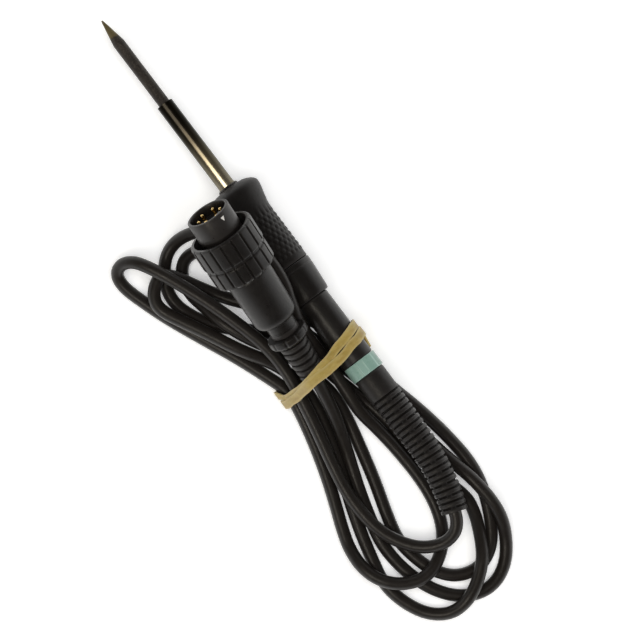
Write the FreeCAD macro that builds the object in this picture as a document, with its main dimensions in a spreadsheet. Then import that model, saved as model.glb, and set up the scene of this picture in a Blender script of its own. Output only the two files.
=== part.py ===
"""Soldering iron handpiece on a coiled cord with a round six-contact plug and a rubber band.

All sizes are millimetres and live in the Sizes sheet.  X runs from the tip to the cord boot,
Z is up and the handpiece lies on z = 0.
"""
import FreeCAD, Part
import math
import os

Vec = FreeCAD.Vector
doc = FreeCAD.newDocument("soldering_handpiece")
sheet = doc.addObject("Spreadsheet::Sheet", "Sizes")

SIZES = [
    # where the handpiece lies
    ("tip_x", -103.94), ("tip_height", 7.8255), ("lean_deg", 1.5),
    # working tip
    ("tip_cone_len", 9.7), ("tip_point_rad", 0.3), ("tip_rad", 2.1), ("tip_end", 47.0),
    ("tip_bore", 1.56), ("tip_bore_from", 8.5), ("tip_flange_rad", 2.62), ("tip_flange_len", 4.0),
    # barrel
    ("barrel_from", 35.7), ("barrel_rad", 3.0), ("barrel_step", 70.9), ("barrel_root_rad", 3.25),
    ("barrel_bore", 2.7), ("lip_len", 1.4), ("lip_bore", 2.17), ("barrel_end", 81.4),
    ("barrel_flange_rad", 4.3), ("barrel_flange_len", 1.2),
    # nut at the barrel's root
    ("nut_from", 71.3), ("nut_nose_rad", 3.9), ("nut_nose_len", 3.2), ("nut_rad", 4.6),
    ("nut_end", 80.1), ("nut_bore", 3.35),
    # heater
    ("heater_from", 9.2), ("heater_rad", 1.5), ("heater_end", 92.0), ("winding_from", 18.0),
    ("winding_len", 21.0), ("winding_rad", 1.54), ("sensor_len", 3.0),
    ("bush_from", 84.2), ("bush_len", 6.0), ("bush_rad", 4.6), ("spring_from", 82.2),
    ("spring_len", 1.6), ("spring_rad", 4.4),
    # front insert
    ("insert_from", 75.6), ("insert_end", 96.0), ("insert_rad", 6.3), ("insert_bore", 4.7),
    ("insert_floor", 90.4), ("insert_floor_bore", 2.6),
    # grip
    ("face_from", 72.3), ("flange_from", 74.3), ("flange_to", 75.3), ("flange_rad", 9.8),
    ("face_rad", 8.6), ("mouth_rad", 4.75),
    ("flare_end", 85.8), ("grip_rad", 7.75), ("grip_end", 106.2),
    ("collar_from", 106.6), ("collar_rad", 7.85), ("collar_end", 119.4), ("collar_end_rad", 6.9),
    # handle tube
    ("spine_from", 96.2), ("spine_rad", 5.1), ("tube_rad", 5.75), ("tube_end", 145.6),
    ("tube_bore", 4.0), ("spigot_rad", 4.7), ("spigot_end", 158.0),
    # coloured ring and boot
    ("ring_end", 151.3), ("ring_rad", 6.1), ("boot_head_rad", 5.65), ("boot_head_end", 160.4),
    ("boot_end_rad", 4.65), ("rib_pitch", 2.118), ("rib_len", 1.25), ("rib_depth", 0.75),
    ("boot_bore", 2.3), ("bend_per_rib", 1.5),
    # inside the handle tube
    ("board_from", 104.0), ("board_len", 24.0), ("board_width", 7.0), ("board_thick", 1.0),
    ("clamp_from", 150.0), ("clamp_len", 6.0), ("clamp_rad", 3.95), ("wire_rad", 0.55),
    ("jacket_from", 146.0), ("jacket_end", 184.0),
    # plug, measured from its nose
    ("nose_x", -28.0), ("nose_y", -10.5), ("nose_z", 43.2),
    ("shell_rad", 7.7), ("shell_nose_len", 7.7), ("shell_root_rad", 7.5), ("shell_bore", 6.6),
    ("shell_len", 27.0),
    ("shoulder_from", 17.6), ("shoulder_len", 2.4), ("shoulder_rad", 9.5),
    ("insulator_from", 3.6), ("insulator_end", 22.0), ("pin_rad", 0.6), ("pin_circle", 4.2),
    ("pin_from", 0.9), ("pin_end", 26.0), ("seal_len", 1.2), ("seal_rad", 8.6),
    ("cring_from", 8.0), ("cring_end", 25.0), ("cring_rad", 11.5), ("cring_rear_rad", 11.2),
    ("cring_bore", 10.0), ("cring_groove_at", 17.0), ("cring_groove_len", 1.0),
    ("cring_groove_rad", 10.8), ("web_from", 20.3), ("web_len", 2.2), ("web_bore", 7.78),
    ("clip_from", 22.9), ("clip_len", 1.0), ("clip_rad", 9.2),
    ("back_from", 25.4), ("back_len", 20.4), ("back_rad", 8.2), ("back_end_rad", 7.8),
    ("back_bore", 6.5), ("neck_rad", 5.15), ("neck_end", 51.0), ("disc_rad", 7.4),
    ("disc_len", 3.7), ("plug_len", 69.7), ("plug_boot_rad", 5.15), ("plug_boot_end_rad", 4.6),
    ("plug_rib_pitch", 2.3), ("sleeve_from", 29.5), ("sleeve_len", 10.0), ("sleeve_rad", 4.0),
    # cord and band
    ("cord_dia", 4.5), ("band_width", 5.0), ("band_thick", 0.7), ("band_gap", 0.05),
]
for row, (word, value) in enumerate(SIZES, start=1):
    sheet.set("A%d" % row, word)
    sheet.set("B%d" % row, "%g" % value)
    sheet.setAlias("B%d" % row, word)
doc.recompute()


def size(word):
    """Current value of one named size."""
    return float(sheet.get(word))


def bind(obj, prop, formula):
    """Tie a property to a formula written with the names of the sheet."""
    words = sorted((w for w, _ in SIZES), key=len, reverse=True)
    out, i = "", 0
    while i < len(formula):
        ch = formula[i]
        if ch.isalpha():
            j = i
            while j < len(formula) and (formula[j].isalnum() or formula[j] == "_"):
                j += 1
            word = formula[i:j]
            out += "Sizes." + word if word in words else word
            i = j
        else:
            out += ch
            i += 1
    obj.setExpression(prop, out)


counter = [0]


def temp(kind, hint):
    """Add an unlabelled working feature."""
    counter[0] += 1
    return doc.addObject(kind, "%s_%03d" % (hint, counter[0]))


def rod(start, length, radius, hint="rod"):
    """Cylinder along the local axis, from a start station."""
    obj = temp("Part::Cylinder", hint)
    bind(obj, "Radius", radius)
    bind(obj, "Height", length)
    bind(obj, "Placement.Base.z", start)
    return obj


def taper(start, length, radius_a, radius_b, hint="taper"):
    """Cone along the local axis, from a start station."""
    obj = temp("Part::Cone", hint)
    bind(obj, "Radius1", radius_a)
    bind(obj, "Radius2", radius_b)
    bind(obj, "Height", length)
    bind(obj, "Placement.Base.z", start)
    return obj


def join(parts, hint="join"):
    """Fuse working features into one."""
    if len(parts) == 1:
        return parts[0]
    obj = temp("Part::MultiFuse", hint)
    obj.Shapes = parts
    return obj


def less(base, tools, hint="less"):
    """Cut working features from a base."""
    obj = temp("Part::Cut", hint)
    obj.Base = base
    obj.Tool = join(tools, "tool")
    return obj


def bunch(parts, hint="bunch"):
    """Keep separate solids together in one node."""
    obj = temp("Part::Compound", hint)
    obj.Links = parts
    return obj


lean = math.radians(size("lean_deg"))
HAND = FreeCAD.Placement(Vec(size("tip_x"), 0, size("tip_height")),
                         FreeCAD.Rotation(Vec(0, 0, 1), Vec(math.cos(lean), 0, math.sin(lean))))
CORD_END = Vec(36.0, -15.0, 16.0)
NOSE = Vec(size("nose_x"), size("nose_y"), size("nose_z"))
PLUG = FreeCAD.Placement(NOSE, FreeCAD.Rotation(Vec(0, 0, 1), CORD_END - NOSE))
NODES = []


def node(obj, label, place):
    """Name a finished sub-part and put it where it belongs."""
    obj.Label = label
    obj.Placement = place
    NODES.append(obj)
    return obj


# ---------------------------------------------------------------- working end
tip_solid = join([
    taper("0", "tip_cone_len", "tip_point_rad", "tip_rad"),
    rod("tip_cone_len", "tip_end - tip_cone_len", "tip_rad"),
    rod("barrel_from + lip_len + 0.15", "tip_flange_len", "tip_flange_rad")])
node(less(tip_solid, [rod("tip_bore_from", "tip_end", "tip_bore")]), "soldering_tip", HAND)

barrel = join([
    rod("barrel_from", "barrel_step - barrel_from", "barrel_rad"),
    rod("barrel_step", "barrel_end - barrel_step", "barrel_root_rad"),
    rod("barrel_end - barrel_flange_len", "barrel_flange_len", "barrel_flange_rad")])
node(less(barrel, [rod("barrel_from - 1", "barrel_end", "lip_bore"),
                   rod("barrel_from + lip_len", "barrel_end", "barrel_bore")]),
     "barrel_tube", HAND)

nut = join([rod("nut_from", "nut_nose_len", "nut_nose_rad"),
            rod("nut_from + nut_nose_len", "nut_end - nut_from - nut_nose_len", "nut_rad")])
node(less(nut, [rod("nut_from - 1", "nut_end", "nut_bore")]), "barrel_nut", HAND)

# ---------------------------------------------------------------- heater
core = less(rod("heater_from", "heater_end - heater_from", "heater_rad"),
            [less(rod("winding_from", "winding_len", "heater_rad + 1"),
                  [rod("winding_from - 1", "winding_len + 2", "heater_rad - 0.25")]),
             rod("heater_from - 1", "sensor_len + 1", "0.7")])
node(core, "heater_core", HAND)
node(less(rod("winding_from", "winding_len", "heater_rad"),
          [rod("winding_from - 1", "winding_len + 2", "heater_rad - 0.25")]),
     "heater_winding", HAND)
node(bunch([rod("heater_from", "sensor_len", "0.7")]), "temperature_sensor", HAND)
node(less(rod("bush_from", "bush_len", "bush_rad"), [rod("bush_from - 1", "bush_len + 2", "heater_rad")]),
     "ceramic_bush", HAND)
node(less(rod("spring_from", "spring_len", "spring_rad"),
          [rod("spring_from - 1", "spring_len + 2", "heater_rad + 0.5")]),
     "earth_spring_washer", HAND)

# ---------------------------------------------------------------- grip and handle
node(less(rod("insert_from", "insert_end - insert_from", "insert_rad"),
          [rod("insert_from - 1", "insert_floor - insert_from + 1", "insert_bore"),
           rod("insert_floor - 1", "insert_end", "insert_floor_bore")]),
     "front_insert", HAND)

grip = join([
    taper("face_from", "flange_from - face_from", "mouth_rad + 1.2", "flange_rad - 0.5"),
    taper("flange_from", "flange_to - flange_from", "flange_rad - 0.5", "flange_rad"),
    rod("flange_to", "0.8", "flange_rad"),
    taper("flange_to + 0.8", "flare_end - flange_to - 0.8", "flange_rad", "grip_rad"),
    rod("flare_end", "grip_end - flare_end", "grip_rad")])
node(less(grip, [rod("face_from - 1", "6", "mouth_rad"),
                 rod("insert_from", "insert_end - insert_from", "insert_rad"),
                 rod("insert_end - 0.1", "20", "spine_rad")]), "grip_sleeve", HAND)
node(less(taper("collar_from", "collar_end - collar_from", "collar_rad", "collar_end_rad"),
          [rod("collar_from - 1", "20", "spine_rad")]), "grip_collar", HAND)
spine = join([rod("spine_from", "collar_end - spine_from", "spine_rad"),
              rod("collar_end", "tube_end - collar_end", "tube_rad"),
              rod("tube_end", "spigot_end - tube_end", "spigot_rad")])
node(less(spine, [rod("spine_from - 1", "80", "tube_bore")]), "handle_tube", HAND)
node(less(rod("tube_end", "ring_end - tube_end", "ring_rad"),
          [rod("tube_end - 1", "10", "spigot_rad")]), "id_ring", HAND)

# The boot's ribs follow a gentle bend over its last third.
boot_parts = [rod("ring_end", "boot_head_end - ring_end", "boot_head_rad")]
ribs, straight = 22, 9
head_end, end_rad, head_rad = size("boot_head_end"), size("boot_end_rad"), size("boot_head_rad")
pitch, rib_len = size("rib_pitch"), size("rib_len")
here, heading = Vec(0, 0, head_end), 0.0
for k in range(ribs):
    if k >= straight:
        heading += size("bend_per_rib")
    turn = FreeCAD.Rotation(Vec(1, 0, 0), heading)
    step = turn.multVec(Vec(0, 0, 1))
    share = (k + 1) / ribs
    core_len = pitch - rib_len + 0.12
    for start, length, depth in ((0.0, core_len, size("rib_depth")), (pitch - rib_len, rib_len, 0.0)):
        disc = temp("Part::Cylinder", "rib")
        bind(disc, "Radius", "boot_head_rad + (boot_end_rad - boot_head_rad) * %g - %s"
             % (share, "rib_depth" if depth else "0"))
        bind(disc, "Height", "rib_len" if not depth else "rib_pitch - rib_len + 0.12")
        back = 0.06 if depth else 0.0
        disc.Placement = FreeCAD.Placement(here + step * (start - back), turn)
        boot_parts.append(disc)
    here = here + step * pitch
boot_end_local = here
boot_end_step = step
node(less(join(boot_parts, "boot"), [rod("ring_end - 1", "spigot_end - ring_end + 1", "spigot_rad"),
                                     rod("spigot_end - 1", "jacket_end - spigot_end + 1", "boot_bore")]),
     "cord_boot", HAND)

# ---------------------------------------------------------------- inside the handle
board = temp("Part::Box", "board")
bind(board, "Length", "board_width")
bind(board, "Width", "board_thick")
bind(board, "Height", "board_len")
bind(board, "Placement.Base.x", "-board_width / 2")
bind(board, "Placement.Base.y", "-board_thick / 2")
bind(board, "Placement.Base.z", "board_from")
node(bunch([board]), "terminal_board", HAND)

tags, leads = [], []
for k, across in enumerate((-2.4, -0.8, 0.8, 2.4)):
    tag = temp("Part::Box", "tag")
    tag.Length, tag.Width, tag.Height = 0.9, 0.5, 18
    tag.Placement.Base = Vec(across - 0.45, size("board_thick") / 2, size("board_from") + 3)
    tags.append(tag)
    wire = temp("Part::Cylinder", "lead")
    bind(wire, "Radius", "wire_rad")
    wire.Height = size("clamp_from") - size("board_from") - size("board_len") - 6
    wire.Placement.Base = Vec(across * 0.62, 0, size("board_from") + size("board_len") + 0.3)
    leads.append(wire)
node(bunch(tags), "terminal_tags", HAND)
node(bunch(leads), "lead_wires", HAND)
node(bunch([rod("jacket_from", "jacket_end - jacket_from", "cord_dia / 2")]), "cord_jacket_end", HAND)
node(less(rod("clamp_from", "clamp_len", "clamp_rad"), [rod("clamp_from - 1", "clamp_len + 2", "cord_dia / 2")]),
     "cord_clamp", HAND)

# ---------------------------------------------------------------- plug
shell = join([rod("0", "shell_nose_len", "shell_rad"), rod("1", "shell_len - 1", "shell_root_rad"),
              rod("shoulder_from", "shoulder_len", "shoulder_rad")])
node(less(shell, [rod("-1", "shell_len + 2", "shell_bore")]), "plug_shell", PLUG)
pins, holes = [], []
for k in range(6):
    angle = math.radians(60 * k + 12)
    for group, extra in ((pins, 0.0), (holes, 2.0)):
        pin = temp("Part::Cylinder", "pin")
        bind(pin, "Radius", "pin_rad")
        bind(pin, "Height", "pin_end - pin_from + %g" % (2 * extra))
        bind(pin, "Placement.Base.x", "pin_circle * %.6f" % math.cos(angle))
        bind(pin, "Placement.Base.y", "pin_circle * %.6f" % math.sin(angle))
        bind(pin, "Placement.Base.z", "pin_from - %g" % extra)
        group.append(pin)
node(less(rod("insulator_from", "insulator_end - insulator_from", "shell_bore"), holes), "pin_insulator", PLUG)
node(bunch(pins), "contact_pins", PLUG)
node(less(rod("shoulder_from - seal_len", "seal_len", "seal_rad"),
          [rod("shoulder_from - seal_len - 1", "seal_len + 2", "shell_root_rad")]), "plug_seal", PLUG)
cring = less(rod("cring_from", "cring_end - cring_from", "cring_rad"), [
    less(rod("cring_groove_at", "cring_end", "cring_rad + 1"),
         [rod("cring_groove_at - 1", "cring_end + 2", "cring_rear_rad")]),
    less(rod("cring_groove_at", "cring_groove_len", "cring_rad + 1"),
         [rod("cring_groove_at - 1", "cring_groove_len + 2", "cring_groove_rad")]),
    rod("cring_from - 1", "web_from - cring_from + 1", "cring_bore"),
    rod("web_from - 1", "web_len + 2", "web_bore"),
    rod("web_from + web_len", "cring_end", "cring_bore - 0.3")])
node(cring, "coupling_ring", PLUG)
node(less(rod("clip_from", "clip_len", "clip_rad"), [rod("clip_from - 1", "clip_len + 2", "shell_root_rad")]),
     "retaining_clip", PLUG)
back = join([
    taper("back_from", "back_len - 1.2", "back_rad", "back_end_rad"),
    taper("back_from + back_len - 1.2", "1.2", "back_end_rad", "back_end_rad - 1.3"),
    rod("back_from + back_len - 1", "neck_end - back_from - back_len + 1", "neck_rad")])
node(less(back, [rod("back_from - 1", "shell_len - back_from + 1", "shell_root_rad"),
                 rod("shell_len - 0.5", "back_len - 6", "back_bore"),
                 rod("shell_len", "plug_len", "cord_dia / 2")]), "backshell", PLUG)
node(less(rod("sleeve_from", "sleeve_len", "sleeve_rad"),
          [rod("shell_len", "plug_len", "cord_dia / 2")]), "crimp_sleeve", PLUG)
node(less(rod("neck_end", "disc_len", "disc_rad"), [rod("neck_end - 1", "20", "cord_dia / 2")]),
     "cord_nut", PLUG)
boot_rings = []
plug_ribs = 6
boot_from = size("neck_end") + size("disc_len")
for k in range(plug_ribs):
    share = k / plug_ribs
    start = "neck_end + disc_len + %d * (plug_len - neck_end - disc_len) / %d" % (k, plug_ribs)
    outer = "(plug_boot_rad + (plug_boot_end_rad - plug_boot_rad) * %.4f)" % share
    boot_rings.append(rod(start, "(plug_len - neck_end - disc_len) / %d" % plug_ribs, outer + " - 0.6"))
    boot_rings.append(rod(start, "1.5", outer))
boot_rings.append(rod("plug_len - 1.1", "1.1", "plug_boot_end_rad"))
node(less(join(boot_rings, "plugboot"), [rod("neck_end", "plug_len - neck_end - 3", "cord_dia / 2")]),
     "plug_boot", PLUG)
node(bunch([rod("shell_len + 0.4", "plug_len - 3 - shell_len - 0.4", "cord_dia / 2")]), "plug_cord_end", PLUG)

# ---------------------------------------------------------------- cord
BOOT_EXIT = HAND.multVec(boot_end_local)
ROUTE = [
    (105.5, -6.1, 13.2), (108.7, -9.9, 12.1), (108.9, -15.8, 10), (105, -22.6, 8.2), (97, -28, 7.2),
    (88, -30.5, 7.1), (76, -30.7, 7.1), (64, -28.5, 7.1), (50, -25.2, 7.2), (36, -22.7, 8.2),
    (27, -21.8, 8.7), (18, -22.4, 10.3), (7, -25.2, 11.3), (-4, -28.6, 11.7), (-14, -32.3, 11.8),
    (-23, -36, 11.9), (-30, -39.6, 11.4), (-34.8, -42, 9.8), (-37, -45.4, 7), (-35.2, -48.8, 4.4),
    (-30.2, -49.6, 3), (-22, -48, 2.5), (-9, -43.6, 2.4), (4, -38, 2.4), (15, -33.1, 2.4),
    (26, -28.9, 2.4), (36, -25.4, 3.8), (45, -26.9, 3), (55, -29.2, 2.4), (66, -32.4, 2.4),
    (76, -36, 2.4), (84, -39.2, 2.4), (91.5, -41.6, 2.8), (99, -42, 6), (106, -39.8, 7.2),
    (111.5, -35, 7.2), (114.6, -28.5, 7.2), (114, -22, 7.3), (110.5, -16, 4.4), (105, -11.5, 2.5),
    (97, -8.6, 2.4), (87, -7, 2.4), (74, -8, 2.4), (64, -9.6, 3.4), (56, -9.7, 5.9), (48, -9, 7.4),
    (36, -8.9, 8.3), (28, -9.2, 9.4), (20.5, -8.3, 13.6), (14, -7.2, 17.6), (4, -3.8, 20.6),
    (-8, -3.7, 20.2), (-19, -7.5, 17.6), (-26, -15.5, 11.5), (-29, -24, 6), (-27, -31.5, 3),
    (-19.5, -37.4, 2.4), (-12, -38.9, 2.4), (-4, -36.3, 2.4), (5, -30.5, 2.4), (14, -19.8, 2.4),
    (24, -13.2, 2.6), (36, -11.2, 3.8), (50, -7.3, 2.4), (62, -2.4, 2.4), (75, -0.6, 2.4),
    (89, 0.4, 2.4), (101, 1.5, 2.4), (108, 0.2, 2.7), (115, -3, 4.8), (121, -6.6, 7.2),
    (126.5, -12.7, 7.2), (130, -20, 7.2), (130.3, -27.3, 4.2), (125.5, -33.9, 2.4), (117, -38, 2.4),
    (108, -39.5, 2.4), (99, -37.5, 2.4), (89, -35, 2.4), (77, -31, 2.4), (66, -27.2, 2.4),
    (54, -24, 2.4), (45, -21.8, 2.8), (36, -20.6, 3.8), (26, -23.2, 2.9), (15, -30.1, 6.5),
    (4, -35.3, 6.8), (-5, -39.9, 7), (-12, -43.5, 7.1), (-17.5, -44, 7.1), (-21.8, -41.2, 7.2),
    (-22.5, -36.6, 7.2), (-19.4, -32.9, 7.1), (-12, -29, 7.1), (-3.5, -24, 7.1), (4, -18, 7.1),
    (13, -9.8, 7.2), (21, -4.1, 3.7), (28, -2.4, 3), (36, -1.6, 3.45), (46, 2.6, 2.8), (57, 6.3, 2.4),
    (66, 8.5, 2.4), (79, 10.2, 2.4), (93, 10, 2.4), (104, 7.4, 2.4), (114.5, 2.5, 2.4), (121, -2.9, 2.4),
    (123.8, -10, 2.4), (121.5, -18, 2.4), (115, -23.2, 2.4), (107, -25.6, 2.4), (99, -26.6, 2.4),
    (89, -24, 2.4), (79, -20.2, 2.4), (68, -16.8, 2.4), (57, -14.9, 2.4), (46, -15.3, 2.6),
    (36, -15.8, 3.8), (26, -17.7, 2.7), (15, -24.7, 6.2), (4.5, -29.2, 7.5), (-4, -31, 5.2),
    (-11.5, -32.6, 2.7), (-18.5, -31, 2.4), (-22.5, -26.5, 2.4), (-21.5, -20.5, 2.4), (-15, -17, 2.4),
    (-5, -15.8, 2.4), (8, -14.2, 2.4), (20, -10, 2.4), (28, -7.4, 2.9), (36, -6.4, 3.7), (49, -2.5, 2.5),
    (61, 2.3, 2.4), (73, 4.2, 2.4), (84, 5.1, 3.2), (91, 5.9, 5.6), (98, 6.8, 7.2), (108, 7.6, 7.2),
    (115.5, 6.4, 5), (122.5, 2.8, 2.6), (128, -2, 2.4), (131.2, -8.5, 2.4), (130.8, -15.5, 2.4),
    (126.5, -22.5, 2.4), (119, -27.8, 2.4), (109, -31, 2.4), (98, -32, 2.4), (88, -29.8, 2.4),
    (77, -25.9, 2.4), (66, -21.8, 3.6), (57, -18.4, 6.8), (47, -15.8, 11.3),
]
corners = [BOOT_EXIT] + [Vec(*p) for p in ROUTE] + [CORD_END]


def cord_path(points):
    """Straight runs joined by tangent arcs, with the radius of each arc."""
    edges, radii, last = [], [], points[0]
    for i in range(1, len(points) - 1):
        before, corner, after = points[i - 1], points[i], points[i + 1]
        run_a, run_b = (corner - before).Length, (after - corner).Length
        u = (before - corner) * (1.0 / run_a)
        w = (after - corner) * (1.0 / run_b)
        turn = math.acos(max(-1.0, min(1.0, -u.dot(w))))
        cut = 0.45 * min(run_a, run_b)
        radius = cut / math.tan(turn / 2)
        radii.append(radius)
        start, end = corner + u * cut, corner + w * cut
        way = u + w
        way.normalize()
        middle = corner + way * (radius / math.cos(turn / 2) - radius)
        edges.append(Part.LineSegment(last, start).toShape())
        edges.append(Part.Arc(start, middle, end).toShape())
        last = end
    edges.append(Part.LineSegment(last, points[-1]).toShape())
    return Part.Wire(edges), radii


path, radii = cord_path(corners)
section = Part.Wire([Part.Circle(corners[0], corners[1] - corners[0], size("cord_dia") / 2).toShape()])
tube = path.makePipeShell([section], True, False)
if tube.Volume < 0:
    tube.reverse()
expect = math.pi * (size("cord_dia") / 2) ** 2 * path.Length
print("cord length %.1f mm, volume %.1f of %.1f mm3" % (path.Length, tube.Volume, expect))
print("cord radii, smallest first:", ", ".join("%.1f" % r for r in sorted(radii)[:16]))
cord = doc.addObject("Part::Feature", "cord_work")
cord.Shape = tube
node(cord, "cord", FreeCAD.Placement())

# ---------------------------------------------------------------- rubber band
# The band is the tight loop round everything that it ties, so its outline is the hull of those circles.
BAND_X, BAND_SKEW = 36.2, 8.0
TIED = [(-26.8, 3.3, 2.45), (-24.0, 7.9, 2.6), (-15.0, 17.0, 5.1), (0.0, 11.58, 6.3), (-1.1, 3.3, 2.45)]


def hull(grow):
    """Closed outline in y and z round the tied circles, grown outward."""
    cloud = []
    for cy, cz, rad in TIED:
        for k in range(72):
            a = math.radians(5 * k)
            cloud.append((cy + (rad + grow) * math.cos(a), cz + (rad + grow) * math.sin(a)))
    cloud = sorted(set((round(a, 4), round(b, 4)) for a, b in cloud))

    def half(points):
        chain = []
        for p in points:
            while len(chain) > 1 and ((chain[-1][0] - chain[-2][0]) * (p[1] - chain[-2][1])
                                      - (chain[-1][1] - chain[-2][1]) * (p[0] - chain[-2][0])) <= 0:
                chain.pop()
            chain.append(p)
        return chain[:-1]
    ring = half(cloud) + half(cloud[::-1])
    width = size("band_width")
    return Part.makePolygon([Vec(-width / 2, y, z) for y, z in ring + ring[:1]])


gap, thick, width = size("band_gap"), size("band_thick"), size("band_width")
outer_loop, inner_loop = Part.Face(hull(gap + thick)), Part.Face(hull(gap))
band = doc.addObject("Part::Feature", "band_work")
band.Shape = outer_loop.cut(inner_loop).extrude(Vec(width, 0, 0)).Solids[0]
skew = FreeCAD.Rotation(Vec(0, 0, 1), BAND_SKEW)
pivot = Vec(BAND_X, 0, 0) - skew.multVec(Vec(0, -10, 0)) + Vec(0, -10, 0)
node(band, "rubber_band", FreeCAD.Placement(pivot, skew))

# ---------------------------------------------------------------- check and write
doc.recompute()
for obj in doc.Objects:
    bad = [s for s in obj.State if s in ("Invalid", "Error")]
    if bad:
        raise RuntimeError("%s is %s" % (obj.Name, bad))
    if hasattr(obj, "Shape") and (obj.Shape.isNull() or not obj.Shape.isValid()):
        raise RuntimeError("%s has no valid shape" % obj.Label)
os.makedirs("parts", exist_ok=True)
box = FreeCAD.BoundBox()
loose = ("cord", "rubber_band", "plug_shell", "pin_insulator", "contact_pins", "plug_seal", "coupling_ring",
         "retaining_clip", "backshell", "crimp_sleeve", "cord_nut", "plug_boot", "plug_cord_end")
for obj in NODES:
    obj.Shape.exportStep("parts/%s.step" % obj.Label)
    if obj.Label not in loose:
        box.add(obj.Shape.BoundBox)
    print("%-20s solids %d volume %10.2f" % (obj.Label, len(obj.Shape.Solids), obj.Shape.Volume))
print("object box", box)
print("boot exit", BOOT_EXIT, "heading", HAND.Rotation.multVec(boot_end_step), "nodes", len(NODES))
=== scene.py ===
"""Soldering iron handpiece, its tied cord and its round plug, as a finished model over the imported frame."""

import logging  # noqa: E402
import math  # noqa: E402
from dataclasses import dataclass, field  # noqa: E402
from enum import Enum  # noqa: E402
from typing import Callable, Dict, List, Sequence, Tuple  # noqa: E402

import bmesh  # noqa: E402
import bpy  # noqa: E402
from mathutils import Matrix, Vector  # noqa: E402


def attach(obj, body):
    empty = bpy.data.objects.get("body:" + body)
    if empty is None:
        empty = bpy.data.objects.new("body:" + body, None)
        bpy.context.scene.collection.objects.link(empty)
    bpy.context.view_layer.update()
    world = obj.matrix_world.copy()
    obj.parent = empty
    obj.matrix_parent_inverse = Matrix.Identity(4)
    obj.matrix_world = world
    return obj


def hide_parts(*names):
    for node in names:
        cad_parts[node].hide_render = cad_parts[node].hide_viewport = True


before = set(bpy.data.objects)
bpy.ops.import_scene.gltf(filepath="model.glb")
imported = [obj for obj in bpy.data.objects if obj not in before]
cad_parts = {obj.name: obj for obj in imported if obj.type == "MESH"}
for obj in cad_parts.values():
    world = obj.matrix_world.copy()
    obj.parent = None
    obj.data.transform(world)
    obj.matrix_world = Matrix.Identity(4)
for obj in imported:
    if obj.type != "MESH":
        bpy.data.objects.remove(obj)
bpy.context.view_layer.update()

log = logging.getLogger("handpiece")
logging.basicConfig(level=logging.INFO, format="%(name)s: %(message)s")

MM = 0.001
Station = Tuple[float, float]
Shape2D = Callable[[float, float, float], float]


# ------------------------------------------------------------------ frames of the two turned assemblies
@dataclass(frozen=True)
class Axis:
    """A straight axis that turned pieces are built along.

    Attributes:
        origin: Where station zero lies, in metres.
        along: Unit direction of growing stations.
        side: Unit direction across the axis, level with the table.
        up: Unit direction across the axis, away from the table.
    """

    origin: Vector
    along: Vector
    side: Vector
    up: Vector

    @classmethod
    def through(cls, start: Sequence[float], end: Sequence[float]) -> "Axis":
        """Make an axis from its first point towards a second.

        Args:
            start: Station zero, in metres.
            end: Any later point of the axis, in metres.

        Returns:
            The axis, with its side vector level.
        """
        origin = Vector(start)
        along = (Vector(end) - origin).normalized()
        side = Vector((0, 0, 1)).cross(along).normalized()
        return cls(origin, along, side, along.cross(side).normalized())

    def at(self, station: float, radius: float = 0.0, angle: float = 0.0) -> Vector:
        """Give the point at a station, radius and angle.

        Args:
            station: Distance along the axis in millimetres.
            radius: Distance from the axis in millimetres.
            angle: Angle in radians from the side vector towards up.

        Returns:
            The point in metres, in the row frame.
        """
        spoke = self.side * math.cos(angle) + self.up * math.sin(angle)
        return self.origin + self.along * (station * MM) + spoke * (radius * MM)


@dataclass(frozen=True)
class BentAxis(Axis):
    """An axis that is straight up to one station and then bends sideways evenly.

    Attributes:
        bend_from: Station where the bend starts, in millimetres.
        bend_rate: Turn in radians for each millimetre after that.
    """

    bend_from: float = 1e9
    bend_rate: float = 0.0

    def at(self, station: float, radius: float = 0.0, angle: float = 0.0) -> Vector:
        """Give the point at a station, radius and angle of the bent axis.

        Args:
            station: Distance along the axis in millimetres.
            radius: Distance from the axis in millimetres.
            angle: Angle in radians from the side vector towards up.

        Returns:
            The point in metres, in the row frame.
        """
        if station <= self.bend_from:
            return super().at(station, radius, angle)
        turn = (station - self.bend_from) * self.bend_rate
        radius_of_bend = 1.0 / self.bend_rate
        ahead = self.bend_from + radius_of_bend * math.sin(turn)
        across = -radius_of_bend * (1.0 - math.cos(turn))
        side = self.side * math.cos(turn) + self.along * math.sin(turn)
        spoke = side * math.cos(angle) + self.up * math.sin(angle)
        return (self.origin + self.along * (ahead * MM) + self.side * (across * MM) + spoke * (radius * MM))


TIP = (-0.10394, 0.0, 0.0078255)
LEAN = math.radians(1.5)
HAND = Axis.through(TIP, (TIP[0] + math.cos(LEAN), 0.0, TIP[2] + math.sin(LEAN)))
NOSE = (-0.028, -0.0105, 0.0432)
PLUG_END = (0.036, -0.015, 0.016)
PLUG = Axis.through(NOSE, PLUG_END)
BOOT_EXIT = (0.10239, -0.00499, 0.01323)


# ------------------------------------------------------------------ finishes
class Grain(Enum):
    """How a surface is worked at the smallest scale."""

    MOULDED = "moulded"
    TURNED = "turned"
    RUBBER = "rubber"
    PLATED = "plated"


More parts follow.
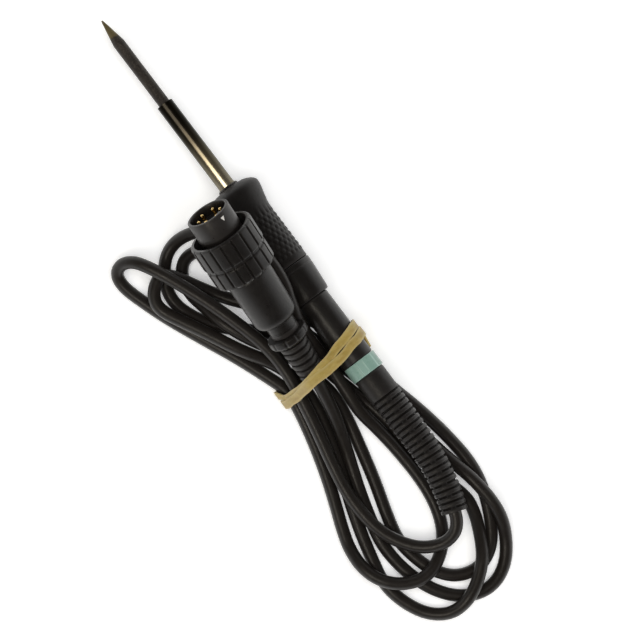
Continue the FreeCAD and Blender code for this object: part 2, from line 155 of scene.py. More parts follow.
class Weave:
    """A node tree being put together, with short calls for the nodes that finishes share."""

    def __init__(self, name: str) -> None:
        """Start an empty material.

        Args:
            name: The material's name.
        """
        self.material = bpy.data.materials.new(name)
        self.material.use_nodes = True
        self.tree = self.material.node_tree
        self.tree.nodes.clear()
        self.out = self.add("ShaderNodeOutputMaterial")
        self.shader = self.add("ShaderNodeBsdfPrincipled")
        self.link(self.shader.outputs["BSDF"], self.out.inputs["Surface"])
        self.place = self.add("ShaderNodeTexCoord").outputs["Object"]

    @classmethod
    def over(cls, material: bpy.types.Material) -> "Weave":
        """Take up a finished material again, to work more into it.

        Args:
            material: The material.

        Returns:
            A weave over the same nodes.
        """
        weave = cls.__new__(cls)
        weave.material, weave.tree = material, material.node_tree
        weave.shader = next(node for node in weave.tree.nodes if node.type == "BSDF_PRINCIPLED")
        weave.place = next(node for node in weave.tree.nodes if node.type == "TEX_COORD").outputs["Object"]
        return weave

    def add(self, kind: str) -> bpy.types.Node:
        """Add one node of a kind and return it."""
        return self.tree.nodes.new(kind)

    def link(self, out: bpy.types.NodeSocket, into: bpy.types.NodeSocket) -> None:
        """Join an output to an input."""
        self.tree.links.new(out, into)

    def cloud(self, scale: float, detail: float = 4.0, rough: float = 0.55,
              stretch: Tuple[float, float, float] = (1.0, 1.0, 1.0)) -> bpy.types.NodeSocket:
        """Add a noise field.

        Args:
            scale: Features per metre.
            detail: Octaves.
            rough: How strong the small octaves are.
            stretch: Scale of the coordinates along X, Y and Z.

        Returns:
            The field's value, about 0 to 1.
        """
        mapping = self.add("ShaderNodeMapping")
        mapping.inputs["Scale"].default_value = stretch
        self.link(self.place, mapping.inputs["Vector"])
        field_node = self.add("ShaderNodeTexNoise")
        field_node.inputs["Scale"].default_value = scale
        field_node.inputs["Detail"].default_value = detail
        field_node.inputs["Roughness"].default_value = rough
        self.link(mapping.outputs["Vector"], field_node.inputs["Vector"])
        return field_node.outputs["Fac"]

    def cells(self, scale: float) -> bpy.types.NodeSocket:
        """Add a field of distances to scattered points, for pits and dust.

        Args:
            scale: Points per metre.

        Returns:
            The distance.
        """
        node = self.add("ShaderNodeTexVoronoi")
        node.inputs["Scale"].default_value = scale
        self.link(self.place, node.inputs["Vector"])
        return node.outputs["Distance"]

    def ramp(self, value: bpy.types.NodeSocket,
             stops: Sequence[Tuple[float, Tuple[float, float, float]]]) -> bpy.types.NodeSocket:
        """Turn a value into colours.

        Args:
            value: The value to read.
            stops: Positions with their colours.

        Returns:
            The colour output.
        """
        node = self.add("ShaderNodeValToRGB")
        elements = node.color_ramp.elements
        while len(elements) < len(stops):
            elements.new(0.5)
        for element, (position, colour) in zip(elements, stops):
            element.position = position
            element.color = (*colour, 1.0)
        self.link(value, node.inputs["Fac"])
        return node.outputs["Color"]

    def span(self, value: bpy.types.NodeSocket, low: float, high: float,
             start: float = 0.3, end: float = 0.7) -> bpy.types.NodeSocket:
        """Map a value's range to another range, held at its ends.

        Args:
            value: The value to read.
            low: Result at start.
            high: Result at end.
            start: Where the input range starts.
            end: Where the input range ends.

        Returns:
            The mapped value.
        """
        node = self.add("ShaderNodeMapRange")
        for socket, number in (("From Min", start), ("From Max", end), ("To Min", low), ("To Max", high)):
            node.inputs[socket].default_value = number
        self.link(value, node.inputs["Value"])
        return node.outputs["Result"]

    def mix(self, share: bpy.types.NodeSocket, first: bpy.types.NodeSocket,
            second: bpy.types.NodeSocket) -> bpy.types.NodeSocket:
        """Blend two colours.

        Args:
            share: How much of the second shows.
            first: The first colour.
            second: The second colour.

        Returns:
            The blended colour.
        """
        node = self.add("ShaderNodeMix")
        node.data_type = "RGBA"
        self.link(share, node.inputs["Factor"])
        self.link(first, node.inputs["A"])
        self.link(second, node.inputs["B"])
        return node.outputs["Result"]

    def bump(self, height: bpy.types.NodeSocket, depth: float, strength: float = 0.6,
             under: bpy.types.NodeSocket | None = None) -> bpy.types.NodeSocket:
        """Add a bump layer.

        Args:
            height: The height field.
            depth: Depth of the relief in metres.
            strength: How much of it shows.
            under: A bump layer below this one, if any.

        Returns:
            The bent normal.
        """
        node = self.add("ShaderNodeBump")
        node.inputs["Strength"].default_value = strength
        node.inputs["Distance"].default_value = depth
        self.link(height, node.inputs["Height"])
        if under is not None:
            self.link(under, node.inputs["Normal"])
        return node.outputs["Normal"]

    def edges(self, radius: float) -> bpy.types.NodeSocket:
        """Add a mask that is bright on outer edges, for wear.

        Args:
            radius: How sharp an edge has to be to show.

        Returns:
            The mask.
        """
        geometry = self.add("ShaderNodeNewGeometry")
        return self.span(geometry.outputs["Pointiness"], 0.0, 1.0, 0.5 + radius, 0.5 + 4 * radius)


@dataclass(frozen=True)
class Finish:
    """One surface finish, from which a material is made.

    Attributes:
        name: The finish's plain name.
        base: Main colour.
        shade: Second colour that drifts through the first.
        worn: Colour of edges that hands have rubbed.
        rough: Middle roughness.
        rough_drift: How far roughness wanders either way.
        metal: Metallic share.
        grain: How the surface is worked.
        grain_scale: Features of the grain per metre.
        grain_depth: Depth of the grain in metres.
        sheen: Soft edge glow of matt rubber.
        coat: Strength of a clear gloss over it.
        specular: Strength of plain gloss at a straight look.
    """

    name: str
    base: Tuple[float, float, float]
    shade: Tuple[float, float, float]
    worn: Tuple[float, float, float]
    rough: float = 0.4
    rough_drift: float = 0.08
    metal: float = 0.0
    grain: Grain = Grain.MOULDED
    grain_scale: float = 5200.0
    grain_depth: float = 0.00002
    sheen: float = 0.0
    coat: float = 0.0
    specular: float = 0.5

    def make(self) -> bpy.types.Material:
        """Build the material of this finish.

        Returns:
            The finished material.
        """
        weave = Weave(self.name)
        shader = weave.shader
        drift = weave.cloud(240.0, 5.0, 0.6)
        tone = weave.ramp(drift, ((0.32, self.base), (0.7, self.shade)))
        edge = weave.edges(0.012)
        worn = weave.ramp(edge, ((0.0, self.worn), (1.0, self.worn)))
        weave.link(weave.mix(weave.span(edge, 0.0, 0.55, 0.0, 1.0), tone, worn), shader.inputs["Base Color"])
        shader.inputs["Metallic"].default_value = self.metal
        shader.inputs["Specular IOR Level"].default_value = self.specular
        if self.sheen:
            shader.inputs["Sheen Weight"].default_value = self.sheen
            shader.inputs["Sheen Roughness"].default_value = 0.55
        if self.coat:
            shader.inputs["Coat Weight"].default_value = self.coat
            shader.inputs["Coat Roughness"].default_value = 0.08
        smear = weave.cloud(900.0, 6.0, 0.65)
        weave.link(weave.span(smear, self.rough - self.rough_drift, self.rough + self.rough_drift),
                   shader.inputs["Roughness"])
        if self.grain is Grain.TURNED:
            fine = weave.cloud(self.grain_scale, 3.0, 0.5, (1.0, 0.06, 0.06))
        elif self.grain is Grain.PLATED:
            fine = weave.cloud(self.grain_scale, 2.0, 0.4)
        elif self.grain is Grain.RUBBER:
            fine = weave.cloud(self.grain_scale, 6.0, 0.7)
        else:
            fine = weave.cells(self.grain_scale)
        normal = weave.bump(fine, self.grain_depth, 0.5)
        normal = weave.bump(weave.cloud(320.0, 2.0), self.grain_depth * 3.0, 0.25, normal)
        weave.link(normal, shader.inputs["Normal"])
        return weave.material


# ------------------------------------------------------------------ the cord's route
ROUTE: Tuple[Tuple[float, float, float], ...] = (
    (0.1055, -0.0061, 0.0132), (0.1087, -0.0099, 0.0121), (0.1089, -0.0158, 0.01), (0.105, -0.0226, 0.0082),
    (0.097, -0.028, 0.0072), (0.088, -0.0305, 0.0071), (0.076, -0.0307, 0.0071), (0.064, -0.0285, 0.0071),
    (0.05, -0.0252, 0.0072), (0.036, -0.0227, 0.0082), (0.027, -0.0218, 0.0087), (0.018, -0.0224, 0.0103),
    (0.007, -0.0252, 0.0113), (-0.004, -0.0286, 0.0117), (-0.014, -0.0323, 0.0118),
    (-0.0215, -0.0354, 0.0119), (-0.0277, -0.0384, 0.0114), (-0.0317, -0.0411, 0.0098),
    (-0.0337, -0.0450, 0.007), (-0.0320, -0.0486, 0.0044), (-0.0272, -0.0493, 0.003),
    (-0.0205, -0.0475, 0.0025), (-0.009, -0.0436, 0.0024), (0.004, -0.038, 0.0024), (0.015, -0.0331, 0.0024),
    (0.026, -0.0289, 0.0024), (0.036, -0.0254, 0.0038), (0.045, -0.0269, 0.003), (0.055, -0.0292, 0.0024),
    (0.066, -0.0324, 0.0024), (0.076, -0.036, 0.0024), (0.084, -0.0392, 0.0024), (0.0915, -0.0416, 0.0028),
    (0.099, -0.042, 0.006), (0.106, -0.0398, 0.0072), (0.1115, -0.035, 0.0072), (0.1146, -0.0285, 0.0072),
    (0.114, -0.022, 0.0073), (0.1105, -0.016, 0.0044), (0.105, -0.0115, 0.0025), (0.097, -0.0086, 0.0024),
    (0.087, -0.0074, 0.0024), (0.074, -0.0079, 0.0028), (0.064, -0.0090, 0.0036), (0.056, -0.0103, 0.0059),
    (0.048, -0.0097, 0.0074), (0.036, -0.0089, 0.0083), (0.028, -0.0092, 0.0094), (0.0205, -0.0083, 0.0136),
    (0.014, -0.0072, 0.0176), (0.004, -0.0038, 0.0206), (-0.008, -0.0037, 0.0202), (-0.019, -0.0075, 0.0176),
    (-0.026, -0.0155, 0.0115), (-0.029, -0.024, 0.006), (-0.027, -0.0315, 0.003), (-0.0195, -0.0374, 0.0024),
    (-0.012, -0.0389, 0.0024), (-0.004, -0.0363, 0.0024), (0.005, -0.0305, 0.0024), (0.014, -0.0198, 0.0024),
    (0.024, -0.0132, 0.0026), (0.036, -0.0112, 0.0038), (0.05, -0.0079, 0.0024), (0.062, -0.0046, 0.0024),
    (0.075, -0.0036, 0.0024), (0.089, -0.0025, 0.0024), (0.101, 0.0015, 0.0024), (0.108, 0.0002, 0.0027),
    (0.115, -0.003, 0.0048), (0.121, -0.0066, 0.0072), (0.1265, -0.0127, 0.0072), (0.13, -0.02, 0.0072),
    (0.1303, -0.0273, 0.0042), (0.1255, -0.0339, 0.0024), (0.117, -0.038, 0.0024), (0.108, -0.0395, 0.0024),
    (0.099, -0.0375, 0.0024), (0.089, -0.035, 0.0024), (0.077, -0.031, 0.0024), (0.066, -0.0266, 0.0024),
    (0.054, -0.0228, 0.0024), (0.045, -0.0208, 0.0028), (0.036, -0.0206, 0.0038), (0.026, -0.0232, 0.0029),
    (0.015, -0.0301, 0.0065), (0.004, -0.0353, 0.0068), (-0.005, -0.0399, 0.007), (-0.012, -0.0435, 0.0071),
    (-0.0166, -0.0436, 0.0071), (-0.0204, -0.0409, 0.0072), (-0.0225, -0.0366, 0.0072),
    (-0.0194, -0.0329, 0.0071), (-0.012, -0.029, 0.0071), (-0.0035, -0.024, 0.0071), (0.004, -0.018, 0.0071),
    (0.013, -0.0098, 0.0072), (0.021, -0.0041, 0.0037), (0.028, -0.0024, 0.003), (0.036, -0.0016, 0.00345),
    (0.046, 0.0017, 0.0028), (0.057, 0.0037, 0.0024), (0.066, 0.0061, 0.0024), (0.079, 0.0085, 0.0024),
    (0.093, 0.0097, 0.0024), (0.104, 0.0074, 0.0024), (0.1145, 0.0025, 0.0024), (0.121, -0.0029, 0.0024),
    (0.1238, -0.01, 0.0024), (0.1215, -0.018, 0.0024), (0.115, -0.0232, 0.0024), (0.107, -0.0256, 0.0024),
    (0.099, -0.0266, 0.0024), (0.089, -0.024, 0.0024), (0.079, -0.0208, 0.0024), (0.068, -0.0180, 0.0024),
    (0.057, -0.0154, 0.0024), (0.046, -0.0137, 0.0026), (0.036, -0.0158, 0.0038), (0.026, -0.0177, 0.0027),
    (0.015, -0.0247, 0.0062), (0.0045, -0.0292, 0.0075), (-0.004, -0.031, 0.0052), (-0.0115, -0.0326, 0.0027),
    (-0.0185, -0.031, 0.0024), (-0.0225, -0.0265, 0.0024), (-0.0215, -0.0205, 0.0024),
    (-0.015, -0.017, 0.0024), (-0.005, -0.0158, 0.0024), (0.008, -0.0142, 0.0024), (0.02, -0.01, 0.0024),
    (0.028, -0.0074, 0.0029), (0.036, -0.0064, 0.0037), (0.049, -0.0033, 0.0025), (0.061, -0.0001, 0.0024),
    (0.073, 0.0018, 0.0024), (0.084, 0.0037, 0.0032), (0.091, 0.0052, 0.0056), (0.098, 0.0068, 0.0072),
    (0.108, 0.0076, 0.0072), (0.1155, 0.0064, 0.005), (0.1225, 0.0028, 0.0026), (0.128, -0.002, 0.0024),
    (0.1312, -0.0085, 0.0024), (0.1308, -0.0155, 0.0024), (0.1265, -0.0225, 0.0024), (0.119, -0.0278, 0.0024),
    (0.109, -0.031, 0.0024), (0.098, -0.032, 0.0024), (0.088, -0.0298, 0.0024), (0.077, -0.0266, 0.0024),
    (0.066, -0.0226, 0.0036), (0.057, -0.0194, 0.0066), (0.047, -0.0166, 0.0111))


# ------------------------------------------------------------------ mesh tools
@dataclass
class Skin:
    """Builds one mesh piece from rings of points.

    Attributes:
        name: The piece's name.
        mesh: The mesh being filled.
    """

    name: str
    mesh: bmesh.types.BMesh = field(default_factory=bmesh.new)

    def loft(self, rings: Sequence[Sequence[Vector]], closed: bool = False, cap: bool = True) -> "Skin":
        """Skin a row of rings that all have the same number of points.

        Args:
            rings: The rings, in order.
            closed: Whether the last ring joins the first.
            cap: Whether the open ends are filled.

        Returns:
            This skin.
        """
        rows = [[self.mesh.verts.new(p) for p in ring] for ring in rings]
        count = len(rows[0])
        pairs = list(zip(rows, rows[1:])) + ([(rows[-1], rows[0])] if closed else [])
        for a, b in pairs:
            for i in range(count):
                j = (i + 1) % count
                self.mesh.faces.new((a[i], a[j], b[j], b[i]))
        if cap and not closed:
            self.mesh.faces.new(list(reversed(rows[0])))
            self.mesh.faces.new(rows[-1])
        return self

    def turned(self, axis: Axis, profile: Sequence[Station], sides: int = 96,
               shape: Shape2D | None = None, closed: bool = False) -> "Skin":
        """Turn a profile round an axis.

        Args:
            axis: The axis to turn about.
            profile: Stations with their radii, in millimetres.
            sides: Points round each ring.
            shape: Optional extra radius from station, angle and radius, in millimetres.
            closed: Whether the profile is a closed loop, as for a tube.

        Returns:
            This skin.
        """
        rings = []
        for station, radius in profile:
            ring = []
            for k in range(sides):
                angle = 2 * math.pi * k / sides
                extra = shape(station, angle, radius) if shape else 0.0
                ring.append(axis.at(station, max(0.01, radius + extra), angle))
            rings.append(ring)
        return self.loft(rings, closed=closed, cap=not closed)

    def finish(self, material: bpy.types.Material, smooth_angle: float = 40.0) -> bpy.types.Object:
        """Turn the collected faces into a scene object.

        Args:
            material: The piece's material.
            smooth_angle: Largest angle in degrees that is shaded smooth.

        Returns:
            The new object.
        """
        bmesh.ops.recalc_face_normals(self.mesh, faces=self.mesh.faces)
        data = bpy.data.meshes.new(self.name)
        self.mesh.to_mesh(data)
        self.mesh.free()
        data.materials.append(material)
        piece = bpy.data.objects.new(self.name, data)
        bpy.context.scene.collection.objects.link(piece)
        data.shade_smooth()
        data.set_sharp_from_angle(angle=math.radians(smooth_angle))
        return piece


def rounded(profile: Sequence[Station], radius: float, steps: int = 4) -> List[Station]:
    """Round the inner corners of a profile.

    Args:
        profile: Stations with radii, in millimetres.
        radius: Size of the rounding, in millimetres.
        steps: Points on each rounded corner.

    Returns:
        The profile with rounded corners.
    """
    points = [Vector((s, r)) for s, r in profile]
    result: List[Station] = [tuple(points[0])]
    for before, corner, after in zip(points, points[1:], points[2:]):
        a, b = before - corner, after - corner
        reach = min(radius, a.length * 0.45, b.length * 0.45)
        if reach < 1e-4 or a.length < 1e-6 or b.length < 1e-6:
            result.append(tuple(corner))
            continue
        start, end = corner + a.normalized() * reach, corner + b.normalized() * reach
        for k in range(steps + 1):
            t = k / steps
            result.append(tuple(start * (1 - t) ** 2 + corner * (2 * t * (1 - t)) + end * t ** 2))
    result.append(tuple(points[-1]))
    return result


def dense(profile: Sequence[Station], step: float) -> List[Station]:
    """Divide the long runs of a profile so that relief can bend them.

    Args:
        profile: Stations with radii, in millimetres.
        step: Longest run that is left whole, in millimetres.

    Returns:
        The profile with points added along its runs.
    """
    result: List[Station] = [profile[0]]
    for (s0, r0), (s1, r1) in zip(profile, profile[1:]):
        count = max(1, int(math.ceil(math.hypot(s1 - s0, r1 - r0) / step)))
        result += [(s0 + (s1 - s0) * k / count, r0 + (r1 - r0) * k / count) for k in range(1, count + 1)]
    return result


def settle(piece: bpy.types.Object, body: str, slot: str, *nodes: str) -> bpy.types.Object:
    """Fix a piece to its body and hide the nodes that it stands for.

    Args:
        piece: The finished piece.
        body: The body that it moves with.
        slot: The material slot that it belongs to; not used.
        *nodes: The CAD nodes that it replaces.

    Returns:
        The same piece.
    """
    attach(piece, body)
    if nodes:
        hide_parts(*nodes)
    log.info("%s rides on %s", piece.name, body)
    return piece


# ------------------------------------------------------------------ the stock of finishes
BLACK = (0.0066, 0.0056, 0.0050)
SOOT = (0.0095, 0.0080, 0.0070)
WORN = (0.03, 0.027, 0.025)
# Heat darkening towards the tip, and painted highlight: the stops brighten towards the handle so that the
# lamp's streak on the barrel is bright there and fades towards the tip.
HEAT_TINT_AND_PAINTED_HIGHLIGHT = (
    (0.0, (0.016, 0.0145, 0.012)), (0.25, (0.026, 0.0235, 0.019)), (0.44, (0.07, 0.063, 0.05)),
    (0.61, (0.20, 0.184, 0.145)), (0.80, (0.37, 0.345, 0.28)), (0.97, (0.57, 0.54, 0.455)))


@dataclass(frozen=True)
class BronzePoint(Finish):
    """The working point: a warm tinned end that turns to a grey, scaled shank.

    Attributes:
        reach: Length of the tinned end in metres.
        ragged: How far its edge wanders, in metres.
        fade: Length over which it turns to grey, in metres.
        scale_tone: Colour of the patches of scale.
    """

    reach: float = 0.0072
    ragged: float = 0.0012
    fade: float = 0.0009
    scale_tone: Tuple[float, float, float] = (0.085, 0.070, 0.056)

    def make(self) -> bpy.types.Material:
        """Build the plated metal with its warm tinned end.

        Returns:
            The finished material.
        """
        material = super().make()
        weave = Weave.over(material)
        shader = weave.shader
        split = weave.add("ShaderNodeSeparateXYZ")
        weave.link(weave.place, split.inputs["Vector"])
        wander = weave.add("ShaderNodeMath")
        wander.operation = "MULTIPLY_ADD"
        weave.link(weave.cloud(700.0, 4.0), wander.inputs[0])
        wander.inputs[1].default_value = self.ragged
        weave.link(split.outputs["X"], wander.inputs[2])
        end = TIP[0] + self.reach
        share = weave.span(wander.outputs[0], 0.0, 1.0, end, end + self.fade)
        bronze = weave.ramp(weave.cloud(1400.0, 5.0),
                            ((0.3, (0.075, 0.056, 0.024)), (0.55, (0.125, 0.098, 0.045)),
                             (0.75, (0.036, 0.028, 0.015))))
        plain = shader.inputs["Base Color"].links[0].from_socket
        scale = weave.cloud(1900.0, 5.0, 0.75)
        pale = weave.ramp(scale, ((0.0, self.scale_tone), (1.0, self.scale_tone)))
        old = weave.mix(weave.span(scale, 0.0, 0.8, 0.50, 0.66), plain, pale)
        weave.link(weave.mix(share, bronze, old), shader.inputs["Base Color"])
        return material


@dataclass(frozen=True)
class HeatedSteelWithPaintedHighlight(Finish):
    """Barrel steel that heat has darkened and browned towards the tip, with its colour raised towards the
    handle as a painted highlight fade, so that the lamp's streak shows bright there and faint near the tip.

    Attributes:
        dark_at: Where the tint is darkest, along X in metres.
        highlight_full_at: Where the steel is brightest, which paints the lamp's highlight at full strength,
            along X in metres.
    """

    dark_at: float = -0.068
    highlight_full_at: float = -0.032

    def make(self) -> bpy.types.Material:
        """Build the brushed steel with its heat tint and its painted highlight fade.

        Returns:
            The finished material.
        """
        material = super().make()
        weave = Weave.over(material)
        shader = weave.shader
        split = weave.add("ShaderNodeSeparateXYZ")
        weave.link(weave.place, split.inputs["Vector"])
        # Painted highlight: the colour rises towards the handle so that the lamp's streak shows bright there
        # and faint towards the tip; the dark front is also real heat darkening.
        tint_and_painted_highlight = weave.ramp(weave.span(split.outputs["X"], 0.0, 1.0, self.dark_at, self.highlight_full_at), HEAT_TINT_AND_PAINTED_HIGHLIGHT)
        old = shader.inputs["Base Color"].links[0].from_socket
        half = weave.add("ShaderNodeMix")
        half.data_type, half.blend_type = "RGBA", "MULTIPLY"
        half.inputs["Factor"].default_value = 1.0
        weave.link(old, half.inputs["A"])
        weave.link(tint_and_painted_highlight, half.inputs["B"])
        weave.link(half.outputs["Result"], shader.inputs["Base Color"])
        return material


@dataclass(frozen=True)
class TiedLatex(Finish):
    """Old pale latex of a rubber band, with a little light coming through.

    Attributes:
        bloom: Colour of its pale patches.
    """

    bloom: Tuple[float, float, float] = (0.46, 0.355, 0.12)

    def make(self) -> bpy.types.Material:
        """Build the latex with pale bloom in patches and soft light under its surface.

        Returns:
            The finished material.
        """
        material = super().make()
        weave = Weave.over(material)
        shader = weave.shader
        patches = weave.cloud(520.0, 6.0, 0.72, (1.0, 0.45, 0.45))
        pale = weave.ramp(patches, ((0.0, self.bloom), (1.0, self.bloom)))
        old = shader.inputs["Base Color"].links[0].from_socket
        weave.link(weave.mix(weave.span(patches, 0.0, 0.75, 0.42, 0.68), old, pale),
                   shader.inputs["Base Color"])
        shader.inputs["Subsurface Weight"].default_value = 0.25
        shader.inputs["Subsurface Radius"].default_value = (1.0, 0.6, 0.25)
        shader.inputs["Subsurface Scale"].default_value = 0.0012
        return material


FINISHES: Dict[str, Finish] = {
    "tip_metal": BronzePoint("tip_metal", (0.018, 0.0152, 0.0128), (0.038, 0.0318, 0.0265),
                             (0.10, 0.09, 0.08), rough=0.50, metal=0.25, specular=0.35, grain=Grain.TURNED,
                             grain_scale=9000.0, grain_depth=0.00001),
    "steel": HeatedSteelWithPaintedHighlight("steel", (0.30, 0.285, 0.25), (0.26, 0.245, 0.21), (0.5, 0.48, 0.42), rough=0.22,
                         rough_drift=0.02, metal=0.8, specular=0.1, grain=Grain.TURNED, grain_scale=7000.0,
                         grain_depth=0.000008),
    "dark_steel": Finish("dark_steel", (0.03, 0.028, 0.027), (0.05, 0.047, 0.045), (0.3, 0.28, 0.26),
                         rough=0.38, metal=0.8, grain=Grain.TURNED, grain_scale=6000.0, grain_depth=0.00001),
    "plain_steel": Finish("plain_steel", (0.55, 0.54, 0.52), (0.42, 0.41, 0.40), (0.7, 0.69, 0.66),
                          rough=0.32, metal=1.0, grain=Grain.TURNED, grain_scale=6000.0, grain_depth=0.00001),
    "ceramic": Finish("ceramic", (0.86, 0.83, 0.76), (0.78, 0.74, 0.66), (0.9, 0.88, 0.82), rough=0.55,
                      grain=Grain.PLATED, grain_scale=8000.0, grain_depth=0.00002),
    "copper_lead": Finish("copper_lead", (0.62, 0.30, 0.17), (0.50, 0.23, 0.13), (0.8, 0.45, 0.3), rough=0.3,
                          metal=1.0, grain=Grain.TURNED),
    "winding": Finish("winding", (0.22, 0.20, 0.19), (0.13, 0.12, 0.12), (0.4, 0.38, 0.35), rough=0.45,
                      metal=0.9, grain=Grain.TURNED, grain_scale=2500.0, grain_depth=0.00008),
    "grip_rubber": Finish("grip_rubber", BLACK, SOOT, WORN, rough=0.50, rough_drift=0.07, grain=Grain.RUBBER,
                          grain_scale=3600.0, grain_depth=0.00004, specular=0.42),
    "black_plastic": Finish("black_plastic", BLACK, SOOT, WORN, rough=0.36, rough_drift=0.06,
                            grain_scale=6500.0, grain_depth=0.000012, specular=0.45),
    "ring_plastic": Finish("ring_plastic", (0.22, 0.345, 0.29), (0.185, 0.305, 0.255), (0.36, 0.52, 0.46),
                           rough=0.30, rough_drift=0.06, grain_scale=5000.0, grain_depth=0.00001, coat=0.25),
    "boot_rubber": Finish("boot_rubber", BLACK, SOOT, WORN, rough=0.44, rough_drift=0.07, grain=Grain.RUBBER,
                          grain_scale=4200.0, grain_depth=0.00003, specular=0.42),
    "board": Finish("board", (0.05, 0.16, 0.08), (0.04, 0.12, 0.06), (0.2, 0.3, 0.15), rough=0.4,
                    grain_scale=3000.0),
    "gold": Finish("gold", (0.90, 0.63, 0.22), (0.82, 0.54, 0.17), (1.0, 0.78, 0.4), rough=0.2,
                   rough_drift=0.05, metal=1.0, grain=Grain.PLATED, grain_scale=7000.0, grain_depth=0.000006),
    "plug_plastic": Finish("plug_plastic", BLACK, SOOT, WORN, rough=0.34, rough_drift=0.07,
                           grain_scale=6000.0, grain_depth=0.000015, specular=0.45),
    "mark_paint": Finish("mark_paint", (0.62, 0.60, 0.56), (0.5, 0.48, 0.45), (0.7, 0.68, 0.64), rough=0.5,
                         grain_scale=4000.0),
    "cord_silicone": Finish("cord_silicone", (0.0085, 0.0070, 0.0062), (0.013, 0.0106, 0.0092),
                            (0.02, 0.017, 0.014), rough=0.36, rough_drift=0.09, grain=Grain.RUBBER,
                            grain_scale=2600.0, grain_depth=0.00003, specular=0.45),
    "band_rubber": TiedLatex("band_rubber", (0.36, 0.262, 0.068), (0.28, 0.188, 0.042), (0.55, 0.45, 0.22),
                             rough=0.52, rough_drift=0.08, grain=Grain.RUBBER, grain_scale=1800.0,
                             grain_depth=0.00006, sheen=0.15),
}


class Stock:
    """The materials, each made once from its finish."""

    def __init__(self) -> None:
        """Make every material of the stock."""
        self.made: Dict[str, bpy.types.Material] = {name: kind.make() for name, kind in FINISHES.items()}

    def __getitem__(self, name: str) -> bpy.types.Material:
        """Give the material of a finish by its name."""
        return self.made[name]


# ------------------------------------------------------------------ the working end
@dataclass
class WorkingEnd:
    """Soldering tip, barrel and nut, all turned about the hand axis.

    Attributes:
        stock: The materials.
        cone: Length of the point in millimetres.
        shank: Radius of the tip's shank.
        barrel: Radius of the barrel.
        mouth: Station of the barrel's front edge.
        nut_front: Station of the nut's front.
        nut_flutes: Flutes round the nut.
    """

    stock: Stock
    cone: float = 9.7
    shank: float = 2.1
    barrel: float = 3.0
    mouth: float = 35.7
    nut_front: float = 71.3
    nut_flutes: int = 24

    def tip(self) -> bpy.types.Object:
        """Build the tip with its slightly full cone, a fine turned line on its shank, and its flange.

        Returns:
            The tip.
        """
        profile: List[Station] = [(0.02, 0.12), (0.12, 0.27)]
        for k in range(1, 15):
            t = k / 14
            profile.append((self.cone * t, 0.27 + (self.shank - 0.27) * (t ** 0.93)))
        profile += [(self.cone + 0.5, self.shank + 0.02), (20.0, self.shank), (20.15, self.shank - 0.04),
                    (20.35, self.shank), (34.6, self.shank), (self.mouth + 1.5, self.shank),
                    (self.mouth + 1.55, 2.6), (self.mouth + 5.4, 2.6), (self.mouth + 5.5, self.shank),
                    (46.9, self.shank), (46.9, 1.6), (9.0, 1.6), (8.6, 0.4)]
        piece = Skin("soldering_tip_turned").turned(HAND, profile, 80).finish(self.stock["tip_metal"])
        return settle(piece, "barrel", "tip_metal", "soldering_tip")

    def tube(self) -> bpy.types.Object:
        """Build the barrel with its rolled lip and its rear flange.

        Returns:
            The barrel.
        """
        outer = [(self.mouth + 0.05, 2.25), (self.mouth, 2.32), (self.mouth, 2.86),
                 (self.mouth + 0.14, self.barrel), (self.mouth + 0.5, self.barrel), (70.4, self.barrel),
                 (70.9, self.barrel), (71.0, 3.2), (80.1, 3.2), (80.2, 4.2), (81.35, 4.2), (81.4, 2.75),
                 (self.mouth + 1.5, 2.72), (self.mouth + 1.3, 2.2), (self.mouth + 0.05, 2.2)]
        piece = Skin("barrel_turned").turned(HAND, outer, 96, closed=True).finish(self.stock["steel"])
        return settle(piece, "barrel", "steel", "barrel_tube")

    def nut(self) -> bpy.types.Object:
        """Build the dark fluted nut at the barrel's root.

        Returns:
            The nut.
        """
        def flutes(station: float, angle: float, radius: float) -> float:
            """Cut the shallow flutes round the nut's front.

            Args:
                station: Place along the axis in millimetres.
                angle: Angle round the axis in radians.
                radius: Plain radius there in millimetres.

            Returns:
                The amount added to the radius in millimetres.
            """
            if radius < 3.4 or not self.nut_front + 0.4 < station < 74.4:
                return 0.0
            return -0.16 * (0.5 + 0.5 * math.cos(self.nut_flutes * angle)) ** 2

        outer = rounded([(self.nut_front, 3.4), (self.nut_front, 3.6), (self.nut_front + 0.45, 3.85),
                         (74.45, 3.88), (74.5, 4.5), (80.0, 4.55), (80.05, 3.4)], 0.2, 3)
        profile = dense(outer, 0.5)
        piece = Skin("barrel_nut_turned").turned(HAND, profile, 192, flutes, closed=True).finish(
            self.stock["dark_steel"])
        return settle(piece, "nut", "dark_steel", "barrel_nut")

    def build(self) -> bpy.types.Object:
        """Build the three pieces in order from the point.

        Returns:
            The barrel.
        """
        self.tip()
        barrel = self.tube()
        self.nut()
        return barrel


